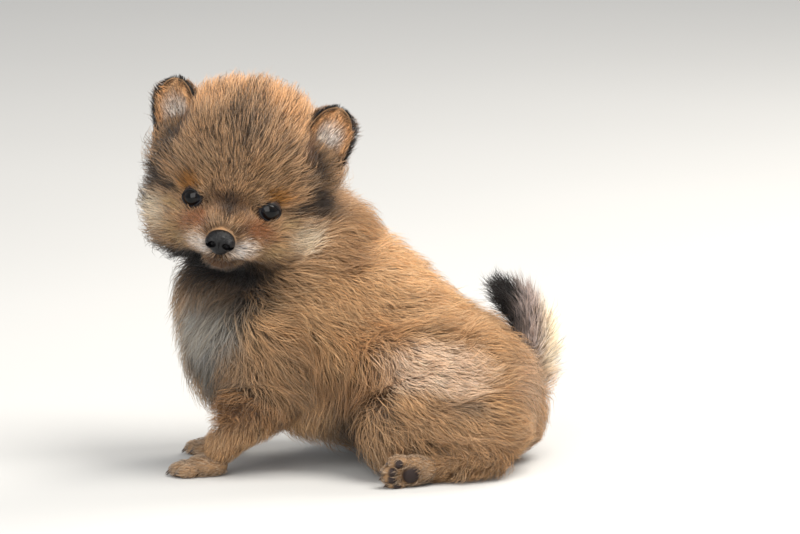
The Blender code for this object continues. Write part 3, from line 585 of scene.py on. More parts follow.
def make_claws():
    """A claw on every toe."""
    pieces = []
    for stance in PAWS:
        _, ahead, _, sole = paw_frame(stance)
        pieces += [make_claw(centre, ahead, sole) for centre in toe_centres(stance)]
    return merged("claws", pieces)


# Ears

EAR_ROOT = (-3, 34, 9)
EAR_TIP = (-8, 44.5, 46.5)
EAR_FACES = (0.90, 0.42, 0.05)
EAR_HALF_WIDTH = 13.8
EAR_CUP = 8.0
EAR_THICK = 2.0
EAR_CLEARING = (5, 39, 31)
EAR_CLEARING_REACH = (26, 19, 20)
EAR_CLEARED = 4.5
EAR_GRID = (40, 40)
EAR_HAIR_GRID = (60, 60)


def ear_grid(side, rows, columns):
    """Points of the ear's middle sheet, a cupped leaf, and unit vectors up, out of its cup and across."""
    root, tip = on_head(EAR_ROOT, side), on_head(EAR_TIP, side)
    rise = tip - root
    height = rise.length
    rise.normalize()
    facing = HEAD_MATRIX.to_3x3() @ Vector((EAR_FACES[0], EAR_FACES[1] * side, EAR_FACES[2]))
    facing = (facing - rise * facing.dot(rise)).normalized()
    across = rise.cross(facing)
    rise, facing, across, root = (np.array(v) for v in (rise, facing, across, root))
    up = np.linspace(0, 1, rows)[:, None, None]
    over = np.linspace(-1, 1, columns)[None, :, None]
    width = (EAR_HALF_WIDTH - 1.2) * (1 - 0.97 * up**4.6) ** 0.5 * (0.80 + 0.40 * up * (1.4 - up))
    bend = math.radians(78) * over
    back = EAR_CUP * (1 - up**2 * 0.55) * (1 - np.cos(bend)) - EAR_CUP
    points = root + rise * (up * (height - 1)) + across * (width * np.sin(bend)) + facing * back
    return points, (rise, facing, across)


def grid_normals(grid, facing):
    """Unit normals of a sheet of points, on its side that faces along facing."""
    normals = unit(np.cross(np.gradient(grid, axis=1), np.gradient(grid, axis=0)))
    return normals * np.sign((normals * facing).sum(axis=2).mean())


def grid_triangles(rows, columns):
    """The triangles of a sheet whose points are stored row by row."""
    triangles = []
    for row in range(rows - 1):
        for column in range(columns - 1):
            a = row * columns + column
            triangles += [(a, a + 1, a + columns + 1), (a, a + columns + 1, a + columns)]
    return triangles


def make_ear(side):
    """A closed cupped leaf from the sheet of its middle, thicker at its root than at its rim."""
    rows, columns = EAR_GRID
    grid, (_, facing, _) = ear_grid(side, rows, columns)
    normals = grid_normals(grid, facing)
    up = np.linspace(0, 1, rows)[:, None, None]
    over = np.linspace(-1, 1, columns)[None, :, None]
    thick = EAR_THICK * (1 - 0.35 * up) / 2 * (1 - 0.6 * over * over)
    points = np.vstack(((grid - normals * thick).reshape(-1, 3), (grid + normals * thick).reshape(-1, 3)))
    size = rows * columns
    rear = grid_triangles(rows, columns)
    faces = rear + [(size + a, size + c, size + b) for a, b, c in rear]
    rim = [row * columns for row in range(rows)]
    rim += [(rows - 1) * columns + column for column in range(1, columns)]
    rim += [row * columns + columns - 1 for row in range(rows - 2, -1, -1)]
    rim += [column for column in range(columns - 2, 0, -1)]
    for first, second in zip(rim, rim[1:] + rim[:1]):
        faces += [(first, second, size + second), (first, size + second, size + first)]
    return mesh_object("ear", points, faces)


# Eyes


def eye_frame(side):
    look = HEAD_MATRIX.to_3x3() @ Vector((EYE_LOOK.x, EYE_LOOK.y * side, EYE_LOOK.z))
    return look, axis_matrix(look, HEAD_MATRIX.to_3x3() @ Vector((0, 1, -0.12 * side)))


def make_eye(side, sides=64, bands=48):
    """An eyeball whose front bulges a little, painted with its pupil, iris and rim."""
    look, frame = eye_frame(side)
    centre = on_head(EYE_PLACE, side)
    points = []
    shades = []
    for band in range(1, bands):
        angle = math.pi * band / bands
        bulge = 0.45 * float(1 - smoothstep(0.0, 0.75, math.pi - angle))
        radius = EYE_RADIUS - 0.1 + bulge
        for step in range(sides):
            turn = 2 * math.pi * step / sides
            out = math.sin(angle)
            spot = Vector((math.cos(turn) * out, math.sin(turn) * out, -math.cos(angle)))
            points.append(centre + frame @ spot * radius)
            shades.append(eye_shade(math.pi - angle, turn))
    points += [centre - look * EYE_RADIUS, centre + look * (EYE_RADIUS + 0.35)]
    shades += [eye_shade(math.pi, 0), eye_shade(0, 0)]
    item = mesh_object(f"eyeball_{SIDES[side]}", points, drum_faces(bands - 1, sides, len(points)))
    paint_points(item, np.array(shades))
    return item


def eye_shade(angle, turn):
    """A black pupil, a dark brown iris with fine rays and a slate rim, and a brown-grey ball around it."""
    rays = 0.5 + 0.5 * math.sin(turn * 23) * math.sin(turn * 7 + 1)
    iris = np.array(linear(16, 11, 9)) * (0.7 + 0.6 * rays)
    rim = np.array(linear(14, 17, 24))
    ball_colour = np.array(linear(70, 58, 54))
    shade = np.array(linear(4, 4, 5))
    shade = shade + (iris - shade) * float(smoothstep(0.30, 0.36, angle))
    shade = shade + (rim - shade) * float(smoothstep(0.50, 0.66, angle))
    shade = shade + (ball_colour - shade) * float(smoothstep(0.74, 0.84, angle))
    return shade


def make_lids(side, steps=72, sides=14):
    """The rims of both lids as one oval ring that follows the eyeball, longer at the corners."""
    _, frame = eye_frame(side)
    centre = on_head(EYE_PLACE, side)
    points = []
    for step in range(steps):
        turn = 2 * math.pi * step / steps
        corner = abs(math.cos(turn)) ** 8
        wide = (LID_OPENING[0] + LID_THICK * 0.6 + 0.8 * corner) * math.cos(turn)
        high = (LID_OPENING[1] + LID_THICK * 0.5) * math.sin(turn)
        flat = Vector((wide, high, 0))
        rise = math.sqrt(max(EYE_RADIUS**2 - flat.length_squared, 0.5))
        spine = flat + Vector((0, 0, rise + 0.15))
        outward = flat.normalized()
        thick = LID_THICK * (1.0 + 0.15 * math.sin(turn))
        for part in range(sides):
            around = 2 * math.pi * part / sides
            step_out = outward * (math.cos(around) * 1.15) + Vector((0, 0, 1)) * (math.sin(around) * 0.8)
            points.append(centre + frame @ (spine + step_out * thick))
    faces = []
    for step in range(steps):
        this, after = step * sides, (step + 1) % steps * sides
        for part in range(sides):
            beyond = (part + 1) % sides
            faces.append((this + part, this + beyond, after + beyond, after + part))
    return mesh_object(f"lids_{SIDES[side]}", points, faces)


def make_nose():
    """The nose leather: a rounded pad with wings, comma-shaped nostrils and a groove down its middle."""
    above = (NOSE_PLACE[0], 0, NOSE_PLACE[2] + 0.9)
    below = (NOSE_PLACE[0] - 0.4, 0, NOSE_PLACE[2] - 2.6)
    pieces = [head_ball("pad", above, (4.8, 7.1, 4.9)), head_ball("base", below, (4.5, 5.0, 4.3))]
    pieces += [head_ball("wing", (49.2, 4.3, -15.4), (4.5, 3.3, 3.9), side) for side in SIDES]
    nose = voxelised("nose_leather", pieces, NOSE_VOXEL, 6)
    holes = [head_ball("groove", (54.6, 0, -17.5), (2.0, 0.45, 4.2))]
    for side in SIDES:
        holes.append(head_ball("nostril", (53.4, 3.6, -16.2), (3.4, 2.1, 1.8), side))
        holes.append(head_ball("slit", (51.6, 6.0, -16.9), (3.4, 2.0, 0.9), side))
    return softened(cut_out(nose, holes), 2)


# The skin


class Surface:
    """A mesh as arrays in millimetres, with smooth normals and a tree that finds the nearest point."""

    def __init__(self, points, triangles):
        self.points = np.asarray(points, float)
        self.triangles = np.asarray(triangles, int)
        a, b, c = (self.points[self.triangles[:, corner]] for corner in range(3))
        cross = np.cross(b - a, c - a)
        self.areas = np.linalg.norm(cross, axis=1) / 2
        self.normals = np.zeros_like(self.points)
        for corner in range(3):
            np.add.at(self.normals, self.triangles[:, corner], cross)
        self.normals = unit(self.normals)
        self.tree = KDTree(len(self.points))
        for index, point in enumerate(self.points):
            self.tree.insert(point, index)
        self.tree.balance()

    def soften_normals(self, rounds):
        """Averages each normal with its neighbours', so that tufts lie evenly."""
        for _ in range(rounds):
            total = self.normals.copy()
            for first, second in ((0, 1), (1, 2), (2, 0)):
                np.add.at(total, self.triangles[:, first], self.normals[self.triangles[:, second]])
            self.normals = unit(total)

    def nearest(self, points):
        """The foot of each point on the plane at its nearest vertex, the normal there, and that vertex."""
        index = np.fromiter((self.tree.find(point)[1] for point in points), int, len(points))
        normals = self.normals[index]
        height = dots(points - self.points[index], normals)
        return points - normals * height[:, None], normals, index

    def scatter(self, density, draw):
        """Random roots, density to each square millimetre at each triangle, and the index of a vertex."""
        expected = self.areas * density
        counts = np.floor(expected + draw.random(len(expected))).astype(int)
        chosen = np.repeat(np.arange(len(expected)), counts)
        first, second = draw.random((2, len(chosen), 1))
        over = first + second > 1
        first, second = np.where(over, 1 - first, first), np.where(over, 1 - second, second)
        a, b, c = (self.points[self.triangles[chosen, corner]] for corner in range(3))
        return a + (b - a) * first + (c - a) * second, self.triangles[chosen, 0]


def surface_of(item):
    mesh = item.data
    mesh.calc_loop_triangles()
    triangles = np.empty(len(mesh.loop_triangles) * 3, int)
    mesh.loop_triangles.foreach_get("vertices", triangles)
    return Surface(vertex_rows(mesh) / MM, triangles.reshape(-1, 3))


def mouth_depth(points):
    """How deep the line of the mouth is pressed into the skin at each point."""
    head = in_head(points)
    line = curve_through([(f, u) for f, u in MOUTH_LINE], 6)
    offset = head[:, None, [0, 2]] - line[None, :, :]
    away = np.sqrt((offset**2).sum(axis=2)).min(axis=1)
    beside = 1 - smoothstep(13, 17, np.abs(head[:, 1]))
    ahead = smoothstep(24, 29, head[:, 0])
    return 1.4 * (1 - smoothstep(0.3, 1.5, away)) * beside * ahead


def make_body_skin():
    """Head, body, lower legs and tail as one skin, with the mouth pressed in and the eyes' sockets cut."""
    flesh = torso_pieces() + limb_pieces() + [tube("tail", TAIL_LINE)]
    skin = voxelised("skin", flesh, SKIN_VOXEL, SKIN_SMOOTHING)
    mesh = skin.data
    points = vertex_rows(mesh) / MM
    near_mouth = in_head(points)[:, 0] > 20
    normals = vertex_rows(mesh, "normal")[near_mouth]
    points[near_mouth] -= normals * mouth_depth(points[near_mouth])[:, None]
    points[:, 2] = np.maximum(points[:, 2], FLOOR_CLEARANCE)
    mesh.vertices.foreach_set("co", (points * MM).ravel())
    mesh.update()
    cuts = []
    opening = (*[half + 0.35 for half in LID_OPENING], 8.5)
    for side in SIDES:
        look, frame = eye_frame(side)
        centre = on_head(EYE_PLACE, side)
        cuts.append(ball("socket", centre, [EYE_RADIUS + 0.1] * 3))
        cuts.append(ball("opening", centre + look * (EYE_RADIUS + 3), opening, frame))
    return cut_out(skin, cuts)


# Colours


def linear(red, green, blue):
    """A colour seen on a screen, from 0 to 255, as the linear light that a shader takes."""
    shares = [value / 255 for value in (red, green, blue)]
    return tuple(v / 12.92 if v < 10 / 255 else ((v + 0.055) / 1.055) ** 2.4 for v in shares)


PALETTE = {
    "orange": linear(214, 164, 116),
    "tan": linear(198, 158, 116),
    "forehead": linear(176, 140, 104),
    "sand": linear(232, 190, 144),
    "ochre": linear(196, 148, 102),
    "umber": linear(142, 104, 70),
    "rose": linear(230, 200, 172),
    "gold": linear(168, 114, 52),
    "rust": linear(146, 90, 52),
    "brown": linear(88, 60, 42),
    "black brown": linear(40, 29, 21),
    "black": linear(24, 20, 19),
    "cream": linear(232, 214, 188),
    "white": linear(228, 214, 202),
    "straw": linear(186, 156, 112),
    "silver": linear(172, 166, 156),
    "grey": linear(112, 107, 99),
    "ash": linear(172, 154, 146),
    "paw": linear(176, 150, 124),
    "leather": linear(48, 38, 36),
}

# Markings of the head, in its frame, with painted shade under the jaw and the chin and along the mouth:
# middle, reach along each axis, colour and strength. All come in pairs.
HEAD_MARKS_AND_SHADE = [
    ((-10, 14, 50), (26, 34, 13), "orange", 0.9),
    ((0, 26, 40), (20, 10, 10), "orange", 0.6),
    ((26, 26, -20), (16, 13, 9), "straw", 0.6),
    ((10, 40, -15), (20, 14, 12), "cream", 1.0),
    ((25, 33, -6.5), (9, 8, 3.5), "straw", 0.8),
    ((25, 24, 7.5), (11, 9, 6.5), "gold", 0.95),
    ((16, 0, 35), (18, 7, 15), "brown", 0.65),
    ((34, 0, 2), (12, 15, 7), "brown", 0.75),
    ((37, 0, 1), (10, 4.5, 9), "black brown", 0.7),
    ((29, 11, 6), (7, 5, 3.5), "black brown", 0.45),
    ((4, 33, 29), (13, 9, 13), "brown", 0.85),
    ((0, 38, 17), (15, 13, 14), "black brown", 0.95),
    ((4, 44, 4), (14, 12, 12), "black brown", 0.95),
    ((-4, 52, -10), (12, 10, 15), "black brown", 0.8),
    ((16, 35, 1), (12, 10, 3.8), "black brown", 0.95),
    ((-4, 40, -34), (18, 16, 9), "grey", 0.9),
    ((32, 14, -10), (12, 13, 7), "rust", 0.85),
    ((28, 21, -15), (11, 9, 6), "rust", 0.6),
    ((42, 10, -8.5), (6, 5, 2.8), "brown", 0.9),
    ((46, 0, -8), (7, 5, 3.6), "orange", 0.9),
    ((43, 12, -20), (14, 9, 7), "white", 1.0),
    ((50, 0, -23), (6, 8, 3), "white", 0.7),
    # Painted shade: the hair under the chin made brown where the head shades it.
    ((40, 0, -30), (13, 14, 6), "brown", 0.85),
    # A dark line along the mouth: partly the dark lip, partly painted shade in the mouth's crease.
    ((44, 0, -26.4), (18, 17, 1.7), "black brown", 0.85),
    # Painted shadow under the jaw, in black.
    ((10, 16, -43), (40, 40, 20), "black", 1.0),
]

# Markings of the body, with painted shade on the throat, under the belly and behind the front legs: middle,
# reach, colour and strength. All come in pairs.
BODY_MARKS_AND_SHADE = [
    ((0, 40, 98), (44, 60, 30), "sand", 1.0),
    ((34, -4, 108), (16, 18, 14), "umber", 0.7),
    ((52, 12, 64), (24, 26, 20), "ochre", 0.8),
    ((50, -6, 36), (26, 26, 16), "umber", 0.8),
    ((46, -34, 54), (20, 20, 20), "umber", 0.8),
    # Painted shadow under the belly, where it sits close to the floor.
    ((42, 6, 10), (42, 34, 20), "black brown", 0.9),
    # Painted shade behind the front leg, in the gap between the leg and the belly.
    ((42, -42, 28), (20, 18, 16), "brown", 0.8),
    ((56, 42, 54), (28, 36, 18), "rose", 1.0),
    ((62, 55, 35), (22, 18, 9), "grey", 0.6),
    ((58, 20, 24), (18, 11, 13), "grey", 0.75),
    ((60, 64, 10), (26, 26, 11), "ochre", 0.7),
    ((16, 92, 38), (36, 26, 30), "rose", 0.6),
    ((30, -72, 56), (40, 30, 44), "grey", 1.0),
    ((28, -80, 67), (34, 30, 18), "silver", 1.0),
    # Painted shadow under the jaw, on the throat.
    ((24, -64, 98), (52, 52, 24), "black brown", 1.0),
]


def patch(points, middle, reach):
    """1 at the middle of a marking and 0 beyond its reach, with an uneven edge."""
    away = np.linalg.norm((points - np.array(middle)) / np.array(reach), axis=1)
    return 1 - smoothstep(0.45, 1.15, away)


def plain(name, count):
    """Rows of one colour."""
    return np.tile(np.array(PALETTE[name]), (count, 1))


def towards(colours, name, share):
    """Each colour moved by its share towards the named one."""
    return colours + (np.array(PALETTE[name]) - colours) * share[:, None]


def markings_and_shade(points, headness):
    """The colour of the coat at each point of the skin, with painted shade under the jaw and chin, on the
    throat, under the belly and behind the front legs.
    """
    wander = np.stack([ripple(points, 20, 30 + axis) for axis in range(3)], axis=1) * 2.0
    paired = points + wander
    paired[:, 0] = np.abs(paired[:, 0])
    colours = plain("tan", len(points))
    for middle, reach, name, strength in BODY_MARKS_AND_SHADE:
        colours = towards(colours, name, patch(paired, middle, reach) * strength)
    head = in_head(points + wander * 0.4)
    head[:, 1] = np.abs(head[:, 1])
    face = plain("forehead", len(points))
    for middle, reach, name, strength in HEAD_MARKS_AND_SHADE:
        face = towards(face, name, patch(head, middle, reach) * strength)
    return colours + (face - colours) * headness[:, None]


# The coat


def head_share(points):
    """1 on the head and 0 on the body."""
    head = in_head(points)
    share = 1 - smoothstep(38, 58, np.linalg.norm(head - np.array((4, 0, 4)), axis=1))
    return np.maximum(share, smoothstep(20, 30, head[:, 0]))


def coat_depth(points):
    """How far the tips of the coat stand off the skin, at each point of the skin."""
    head = in_head(points)
    off_face = np.linalg.norm(head - np.array(FACE_POINT), axis=1)
    head_coat = FACE_COAT + (HEAD_COAT - FACE_COAT) * smoothstep(*FACE_REACH, off_face)
    ruff = np.linalg.norm(points - np.array((0, -30, 108)), axis=1)
    body_coat = BODY_COAT + RUFF_EXTRA * (1 - smoothstep(30, 75, ruff))
    thigh = smoothstep(22, 45, np.abs(points[:, 0])) * (points[:, 1] > 10)
    body_coat = body_coat + (THIGH_COAT - body_coat) * thigh
    low = smoothstep(8, 40, points[:, 2])
    body_coat = BELLY_COAT + (body_coat - BELLY_COAT) * low
    body_coat = FLOOR_COAT + (body_coat - FLOOR_COAT) * smoothstep(-4, 14, points[:, 2])
    return body_coat + (head_coat - body_coat) * head_share(points)


def body_flow(points, normals):
    """The coat of the body lies back and down, and straight down on the front of the chest."""
    front = smoothstep(-0.1, 0.7, -normals[:, 1])[:, None]
    low = (1 - smoothstep(38, 74, points[:, 2])) * (1 - smoothstep(14, 40, points[:, 1]))
    thigh = smoothstep(26, 44, np.abs(points[:, 0])) * smoothstep(12, 36, points[:, 1])
    guide = np.array((0, 0.88, -0.47))
    guide = guide + (np.array((0, 0.30, -0.95)) - guide) * low[:, None]
    guide = guide + (np.array((0, 0.97, -0.24)) - guide) * thigh[:, None]
    return guide + (np.array((0, 0.1, -1)) - guide) * front


def tail_flow(points):
    """Along the tail to its tip."""
    rows = curve_through(TAIL_LINE, 6)[:, :3]
    along = unit(np.gradient(rows, axis=0))
    nearest = ((points[:, None, :] - rows[None]) ** 2).sum(axis=2).argmin(axis=1)
    return along[nearest]


def leg_flow(points):
    """Down the front legs, and forward along the hind feet."""
    hind = smoothstep(-20, 0, points[:, 1])[:, None]
    return np.array((0, -0.35, -0.94)) * (1 - hind) + np.array((0.1, -0.97, -0.2)) * hind


def round_eyes(points, flow):
    """Turns the lie of the coat so that it passes the eyes on both sides."""
    for side in SIDES:
        look, _ = eye_frame(side)
        look = np.array(look)
        offset = points - np.array(on_head(EYE_PLACE, side))
        close = np.linalg.norm(offset, axis=1) < EYE_REACH
        offset = offset - look * (offset @ look)[:, None]
        away = np.linalg.norm(offset, axis=1)
        inward = -unit(offset)
        heading = np.maximum(dots(flow, inward), 0)
        near = 1.3 * (1 - smoothstep(8, 20, away)) * close
        flow = flow - inward * (heading * near)[:, None]
    return flow


def to_eye(points):
    """The distance of each point from the line in which the nearer eye looks."""
    found = np.full(len(points), 99.0)
    for side in SIDES:
        look, _ = eye_frame(side)
        look = np.array(look)
        offset = points - np.array(on_head(EYE_PLACE, side))
        ahead = offset @ look
        away = np.linalg.norm(offset - look * ahead[:, None], axis=1)
        found = np.where(ahead > 0, np.minimum(found, away), found)
    return found


def depth_of_body(points, normals):
    """The outline's depth, and more where the coat hangs from the belly and the lower chest."""
    below = smoothstep(0.1, 0.8, -normals[:, 2]) * (1 - smoothstep(20, 50, points[:, 1]))
    return coat_depth(points) + HANGING_COAT * below


def depth_of_leg(points):
    """Short hair with longer feathers on the upper front legs and behind the hind feet."""
    upper = smoothstep(14, 40, points[:, 2]) * (points[:, 1] < 0)
    heel = smoothstep(34, 52, points[:, 1])
    return LEG_COAT + 0.8 + FEATHER * np.maximum(upper, heel * 0.6)


def depth_of_head(points):
    """The outline's depth, a little more on the muzzle, and short hair in front of the ears' cups."""
    head = in_head(points)
    depth = coat_depth(points) + 1.8 * smoothstep(20, 34, head[:, 0])
    paired = np.stack((head[:, 0], np.abs(head[:, 1]), head[:, 2]), axis=1)
    return depth + (EAR_CLEARED - depth) * patch(paired, EAR_CLEARING, EAR_CLEARING_REACH)


def travel_of_head(points):
    """Short hair lies along the muzzle, and the hair of the crown stands up more than the cheeks'."""
    depth = coat_depth(points)
    crown = smoothstep(0, 26, in_head(points)[:, 2])
    return 2.6 + depth * (0.95 - 0.45 * crown)


def density_of_head(points):
    """Finer and closer hair towards the face."""
    off_face = np.linalg.norm(in_head(points) - np.array(FACE_POINT), axis=1)
    return HEAD_DENSITY + (FACE_DENSITY - HEAD_DENSITY) * (1 - smoothstep(26, 46, off_face))


def dark_of_head(points):
    """More dark hair on the forehead, and most in a streak up its middle."""
    head = in_head(points)
    forehead = smoothstep(-4, 16, head[:, 2]) * smoothstep(-20, 6, head[:, 0])
    streak = patch(head, (12, 0, 34), (24, 8, 20))
    return 0.06 + 0.26 * forehead + 0.35 * streak


class Coat:
    """What the tufts need to know at each vertex of the skin."""

    def __init__(self, skin, torso_distance):
        self.skin = skin
        points, normals = skin.points, skin.normals
        limb = smoothstep(1.0, 9.0, torso_distance)
        rear = points[:, 1] > 74
        self.tail = limb * (rear & (points[:, 2] > 34))
        self.leg = limb * (1 - self.tail) * (points[:, 2] < 46)
        self.head = head_share(points)
        on_body, on_legs = depth_of_body(points, normals), depth_of_leg(points)
        self.depth = self.blend(on_body, depth_of_head(points), on_legs, TAIL_COAT)
        hang = 1 + 0.5 * (1 - smoothstep(20, 50, points[:, 2]))
        travel = (3 + 0.75 * self.depth) * hang
        self.travel = self.blend(travel, travel_of_head(points), LEG_TRAVEL, TAIL_TRAVEL)
        self.density = self.blend(BODY_DENSITY, density_of_head(points), LEG_DENSITY, TAIL_DENSITY)
        self.dark = self.blend(BODY_DARK, dark_of_head(points), LEG_DARK, TAIL_DARK)
        self.flow = self.flow_at(points, normals)

    def blend(self, body, head, leg, tail):
        """One value for each vertex from those of the body, head, legs and tail."""
        value = body + (head - body) * self.head
        value = value + (leg - value) * self.leg
        return value + (tail - value) * self.tail

    def flow_at(self, points, normals):
        away = unit(points - np.array(on_head(NOSE_TIP)))
        flow = body_flow(points, normals)
        flow = flow + (away - flow) * self.head[:, None]
        flow = flow + (leg_flow(points) - flow) * self.leg[:, None]
        flow = flow + (tail_flow(points) - flow) * self.tail[:, None]
        return round_eyes(points, flattened(flow, normals))

    def colours(self, points, index):
        """The colour of hair that is seen at each point and grows from a vertex of the skin, painted shade
        included.
        """
        colours = markings_and_shade(points, self.head[index])
        legs = plain("tan", len(points))
        legs = towards(legs, "umber", smoothstep(14, 34, points[:, 2]))
        colours = colours + (legs - colours) * self.leg[index, None]
        front = smoothstep(6, -8, (points[:, 1] - 88) + (points[:, 2] - 62) * 0.2)
        brush = plain("ash", len(points))
        brush = towards(brush, "cream", smoothstep(92, 102, points[:, 1]))
        brush = towards(brush, "black", np.clip(front + smoothstep(80, 98, points[:, 2]) * 0.5, 0, 1))
        return colours + (brush - colours) * self.tail[index, None]



def turned_about(vectors, axes, angles):
    """Each vector turned about its axis by its angle."""
    cosine, sine = np.cos(angles)[:, None], np.sin(angles)[:, None]
    return vectors * cosine + np.cross(axes, vectors) * sine


def coat_paths(surface, depth, flow, roots, index, travel, level, wander):
    """The spine of each tuft: it leaves the skin at its root and bends over as it travels along the skin.

    level is the share of the coat's depth that a tip reaches, and wander the turn of each tuft's lie."""
    normals = surface.normals[index]
    path = [roots - normals * ROOT_SINK]
    current = roots
    most = depth[index] * 1.3 + 0.8
    for before, after, share in zip(STATIONS, STATIONS[1:], HEIGHTS[1:]):
        direction = turned_about(unit(flow[index]), normals, wander)
        target = current + direction * (travel * (after - before))[:, None]
        current, normals, index = surface.nearest(target)
        tall = np.minimum(depth[index], most) * level * share
        path.append(current + normals * tall[:, None])
    return np.stack(path, axis=1)


def clumped(path, strength, per_clump, draw):
    """Draws the tips of neighbouring tufts together, as the hair of a coat parts into wisps."""
    guides = draw.choice(len(path), max(len(path) // per_clump, 1), replace=False)
    tree = KDTree(len(guides))
    for place, guide in enumerate(guides):
        tree.insert(path[guide, 0], place)
    tree.balance()
    chosen = guides[np.fromiter((tree.find(root)[1] for root in path[:, 0]), int, len(path))]
    leader = path[chosen]
    apart = path[:, :1] - leader[:, :1]
    near = 1 - smoothstep(4, 9, np.linalg.norm(apart, axis=2))
    share = np.array(STATIONS)[None, :, None] ** 1.3 * strength * near[:, :, None]
    return path + (leader + apart * 0.25 - path) * share


def wavy(path, amount, size):
    """A slight wave that neighbouring tufts share."""
    flat = path.reshape(-1, 3)
    wave = np.stack([ripple(flat, size, 50 + axis) for axis in range(3)], axis=1).reshape(path.shape)
    return path + wave * amount * np.array(STATIONS)[None, :, None]


# Shares of a tuft's width at its points, for spines of four and of three
TAPER = {4: np.array((0.8, 1.0, 0.7, 0.0)), 3: np.array((0.85, 0.9, 0.0))}
TUFT_FLATNESS = 0.7
HELPER_AXIS = np.array((0.31, 0.83, 0.46))
RING = [(math.cos(a), math.sin(a)) for a in (math.radians(90), math.radians(210), math.radians(330))]


def tuft_points(path, width):
    """The corners of each tuft's rings, and its tip last."""
    count, stations = path.shape[:2]
    rings = stations - 1
    along = unit(np.gradient(path, axis=1))
    outward = unit(path[:, -1] - path[:, 0])
    helper = unit(np.cross(outward, HELPER_AXIS))[:, None, :]
    beside = unit(np.cross(along, np.broadcast_to(helper, along.shape)))[:, :rings]
    third = np.cross(along[:, :rings], beside)
    half = (width[:, None] * TAPER[stations][None, :] / 2)[:, :rings, None]
    points = np.empty((count, rings * 3 + 1, 3))
    for corner, (first, second) in enumerate(RING):
        ring = path[:, :rings] + (beside * first + third * second * TUFT_FLATNESS) * half
        points[:, corner : rings * 3 : 3] = ring
    points[:, -1] = path[:, -1]
    return points


def tuft_mesh(name, path, width, colours, places):
    """Closed three-sided tapered tufts as one mesh. places are their roots' places on the skin's unwrap."""
    count, stations = path.shape[:2]
    rings = stations - 1
    points = tuft_points(path, width)
    first_points = (np.arange(count) * points.shape[1])[:, None, None]
    triangles = (tuft_triangles(rings)[None] + first_points).reshape(-1, 3)
    item = linked(raw_mesh(name, points.reshape(-1, 3) * MM, triangles))
    steps = np.concatenate((np.repeat(np.linspace(0, 1, stations)[:rings], 3), [1.0]))
    tipward = steps[None, :, None]
    shades = colours[:, :1] * (1 - tipward) + colours[:, 1:] * tipward
    paint_points(item, shades.reshape(-1, 3))
    across = np.concatenate((np.tile((0.0, 0.5, 1.0), rings), [0.5]))
    spots = places[:, None, :] + (np.stack((across, steps), axis=1)[None] - 0.5) * UV_PATCH
    layer = item.data.uv_layers.new(name="OFBake")
    layer.data.foreach_set("uv", spots.reshape(-1, 2)[triangles.ravel()].ravel().astype(np.float32))
    return item


def tuft_triangles(rings):
    """The triangles of one tuft: its root, its sides and its tip."""
    triangles = [(0, 2, 1)]
    for ring in range(rings - 1):
        for step in range(3):
            a, b = ring * 3 + step, ring * 3 + (step + 1) % 3
            triangles += [(a, b, b + 3), (a, b + 3, a + 3)]
    last = (rings - 1) * 3
    triangles += [(last + step, last + (step + 1) % 3, rings * 3) for step in range(3)]
    return np.array(triangles)


def raw_mesh(name, points, triangles):
    """A smooth triangle mesh from arrays in metres."""
    mesh = bpy.data.meshes.new(name)
    mesh.vertices.add(len(points))
    mesh.vertices.foreach_set("co", points.astype(np.float32).ravel())
    mesh.loops.add(len(triangles) * 3)
    mesh.loops.foreach_set("vertex_index", triangles.astype(np.int32).ravel())
    mesh.polygons.add(len(triangles))
    mesh.polygons.foreach_set("loop_start", np.arange(0, len(triangles) * 3, 3, dtype=np.int32))
    mesh.polygons.foreach_set("use_smooth", np.ones(len(triangles), bool))
    mesh.update(calc_edges=True)
    return mesh


def paint_points(item, colours):
    """Stores a colour for each vertex, in linear light."""
    layer = item.data.color_attributes.new("Coat", "FLOAT_COLOR", "POINT")
    rows = np.concatenate((np.clip(colours, 0, 1), np.ones((len(colours), 1))), axis=1)
    layer.data.foreach_set("color", rows.astype(np.float32).ravel())


class Unwrap:
    """An unwrap of the skin's own shape, to look up the place of a root in it."""

    def __init__(self, skin_item, triangles=9000):
        proxy = linked(skin_item.data.copy())
        proxy.data.calc_loop_triangles()
        fewer = proxy.modifiers.new("fewer", "DECIMATE")
        fewer.ratio = triangles / len(proxy.data.loop_triangles)
        fewer.use_collapse_triangulate = True
        apply_modifiers(proxy)
        bpy.context.view_layer.objects.active = proxy
        proxy.select_set(True)
        bpy.ops.object.mode_set(mode="EDIT")
        bpy.ops.mesh.select_all(action="SELECT")
        bpy.ops.uv.smart_project(angle_limit=math.radians(66), island_margin=0.004)
        bpy.ops.object.mode_set(mode="OBJECT")
        mesh = proxy.data
        mesh.calc_loop_triangles()
        self.corners = np.array([[mesh.vertices[v].co / MM for v in t.vertices] for t in mesh.loop_triangles])
        spots = mesh.uv_layers.active.data
        self.spots = np.array([[spots[loop].uv for loop in t.loops] for t in mesh.loop_triangles])
        flat = self.corners.reshape(-1, 3)
        faces = np.arange(len(flat)).reshape(-1, 3)
        self.tree = BVHTree.FromPolygons([tuple(p) for p in flat], [tuple(f) for f in faces])
        discard(proxy)

    def places(self, points):
        index = np.fromiter((self.tree.find_nearest(point)[2] for point in points), int, len(points))
        a, b, c = (self.corners[index, corner] for corner in range(3))
        normal = np.cross(b - a, c - a)
        size = np.maximum(dots(normal, normal), 1e-12)
        second = dots(np.cross(points - a, c - a), normal) / size
        third = dots(np.cross(b - a, points - a), normal) / size
        weights = np.clip(np.stack((1 - second - third, second, third), axis=1), 0, 1)
        weights /= weights.sum(axis=1)[:, None]
        return (self.spots[index] * weights[:, :, None]).sum(axis=1)


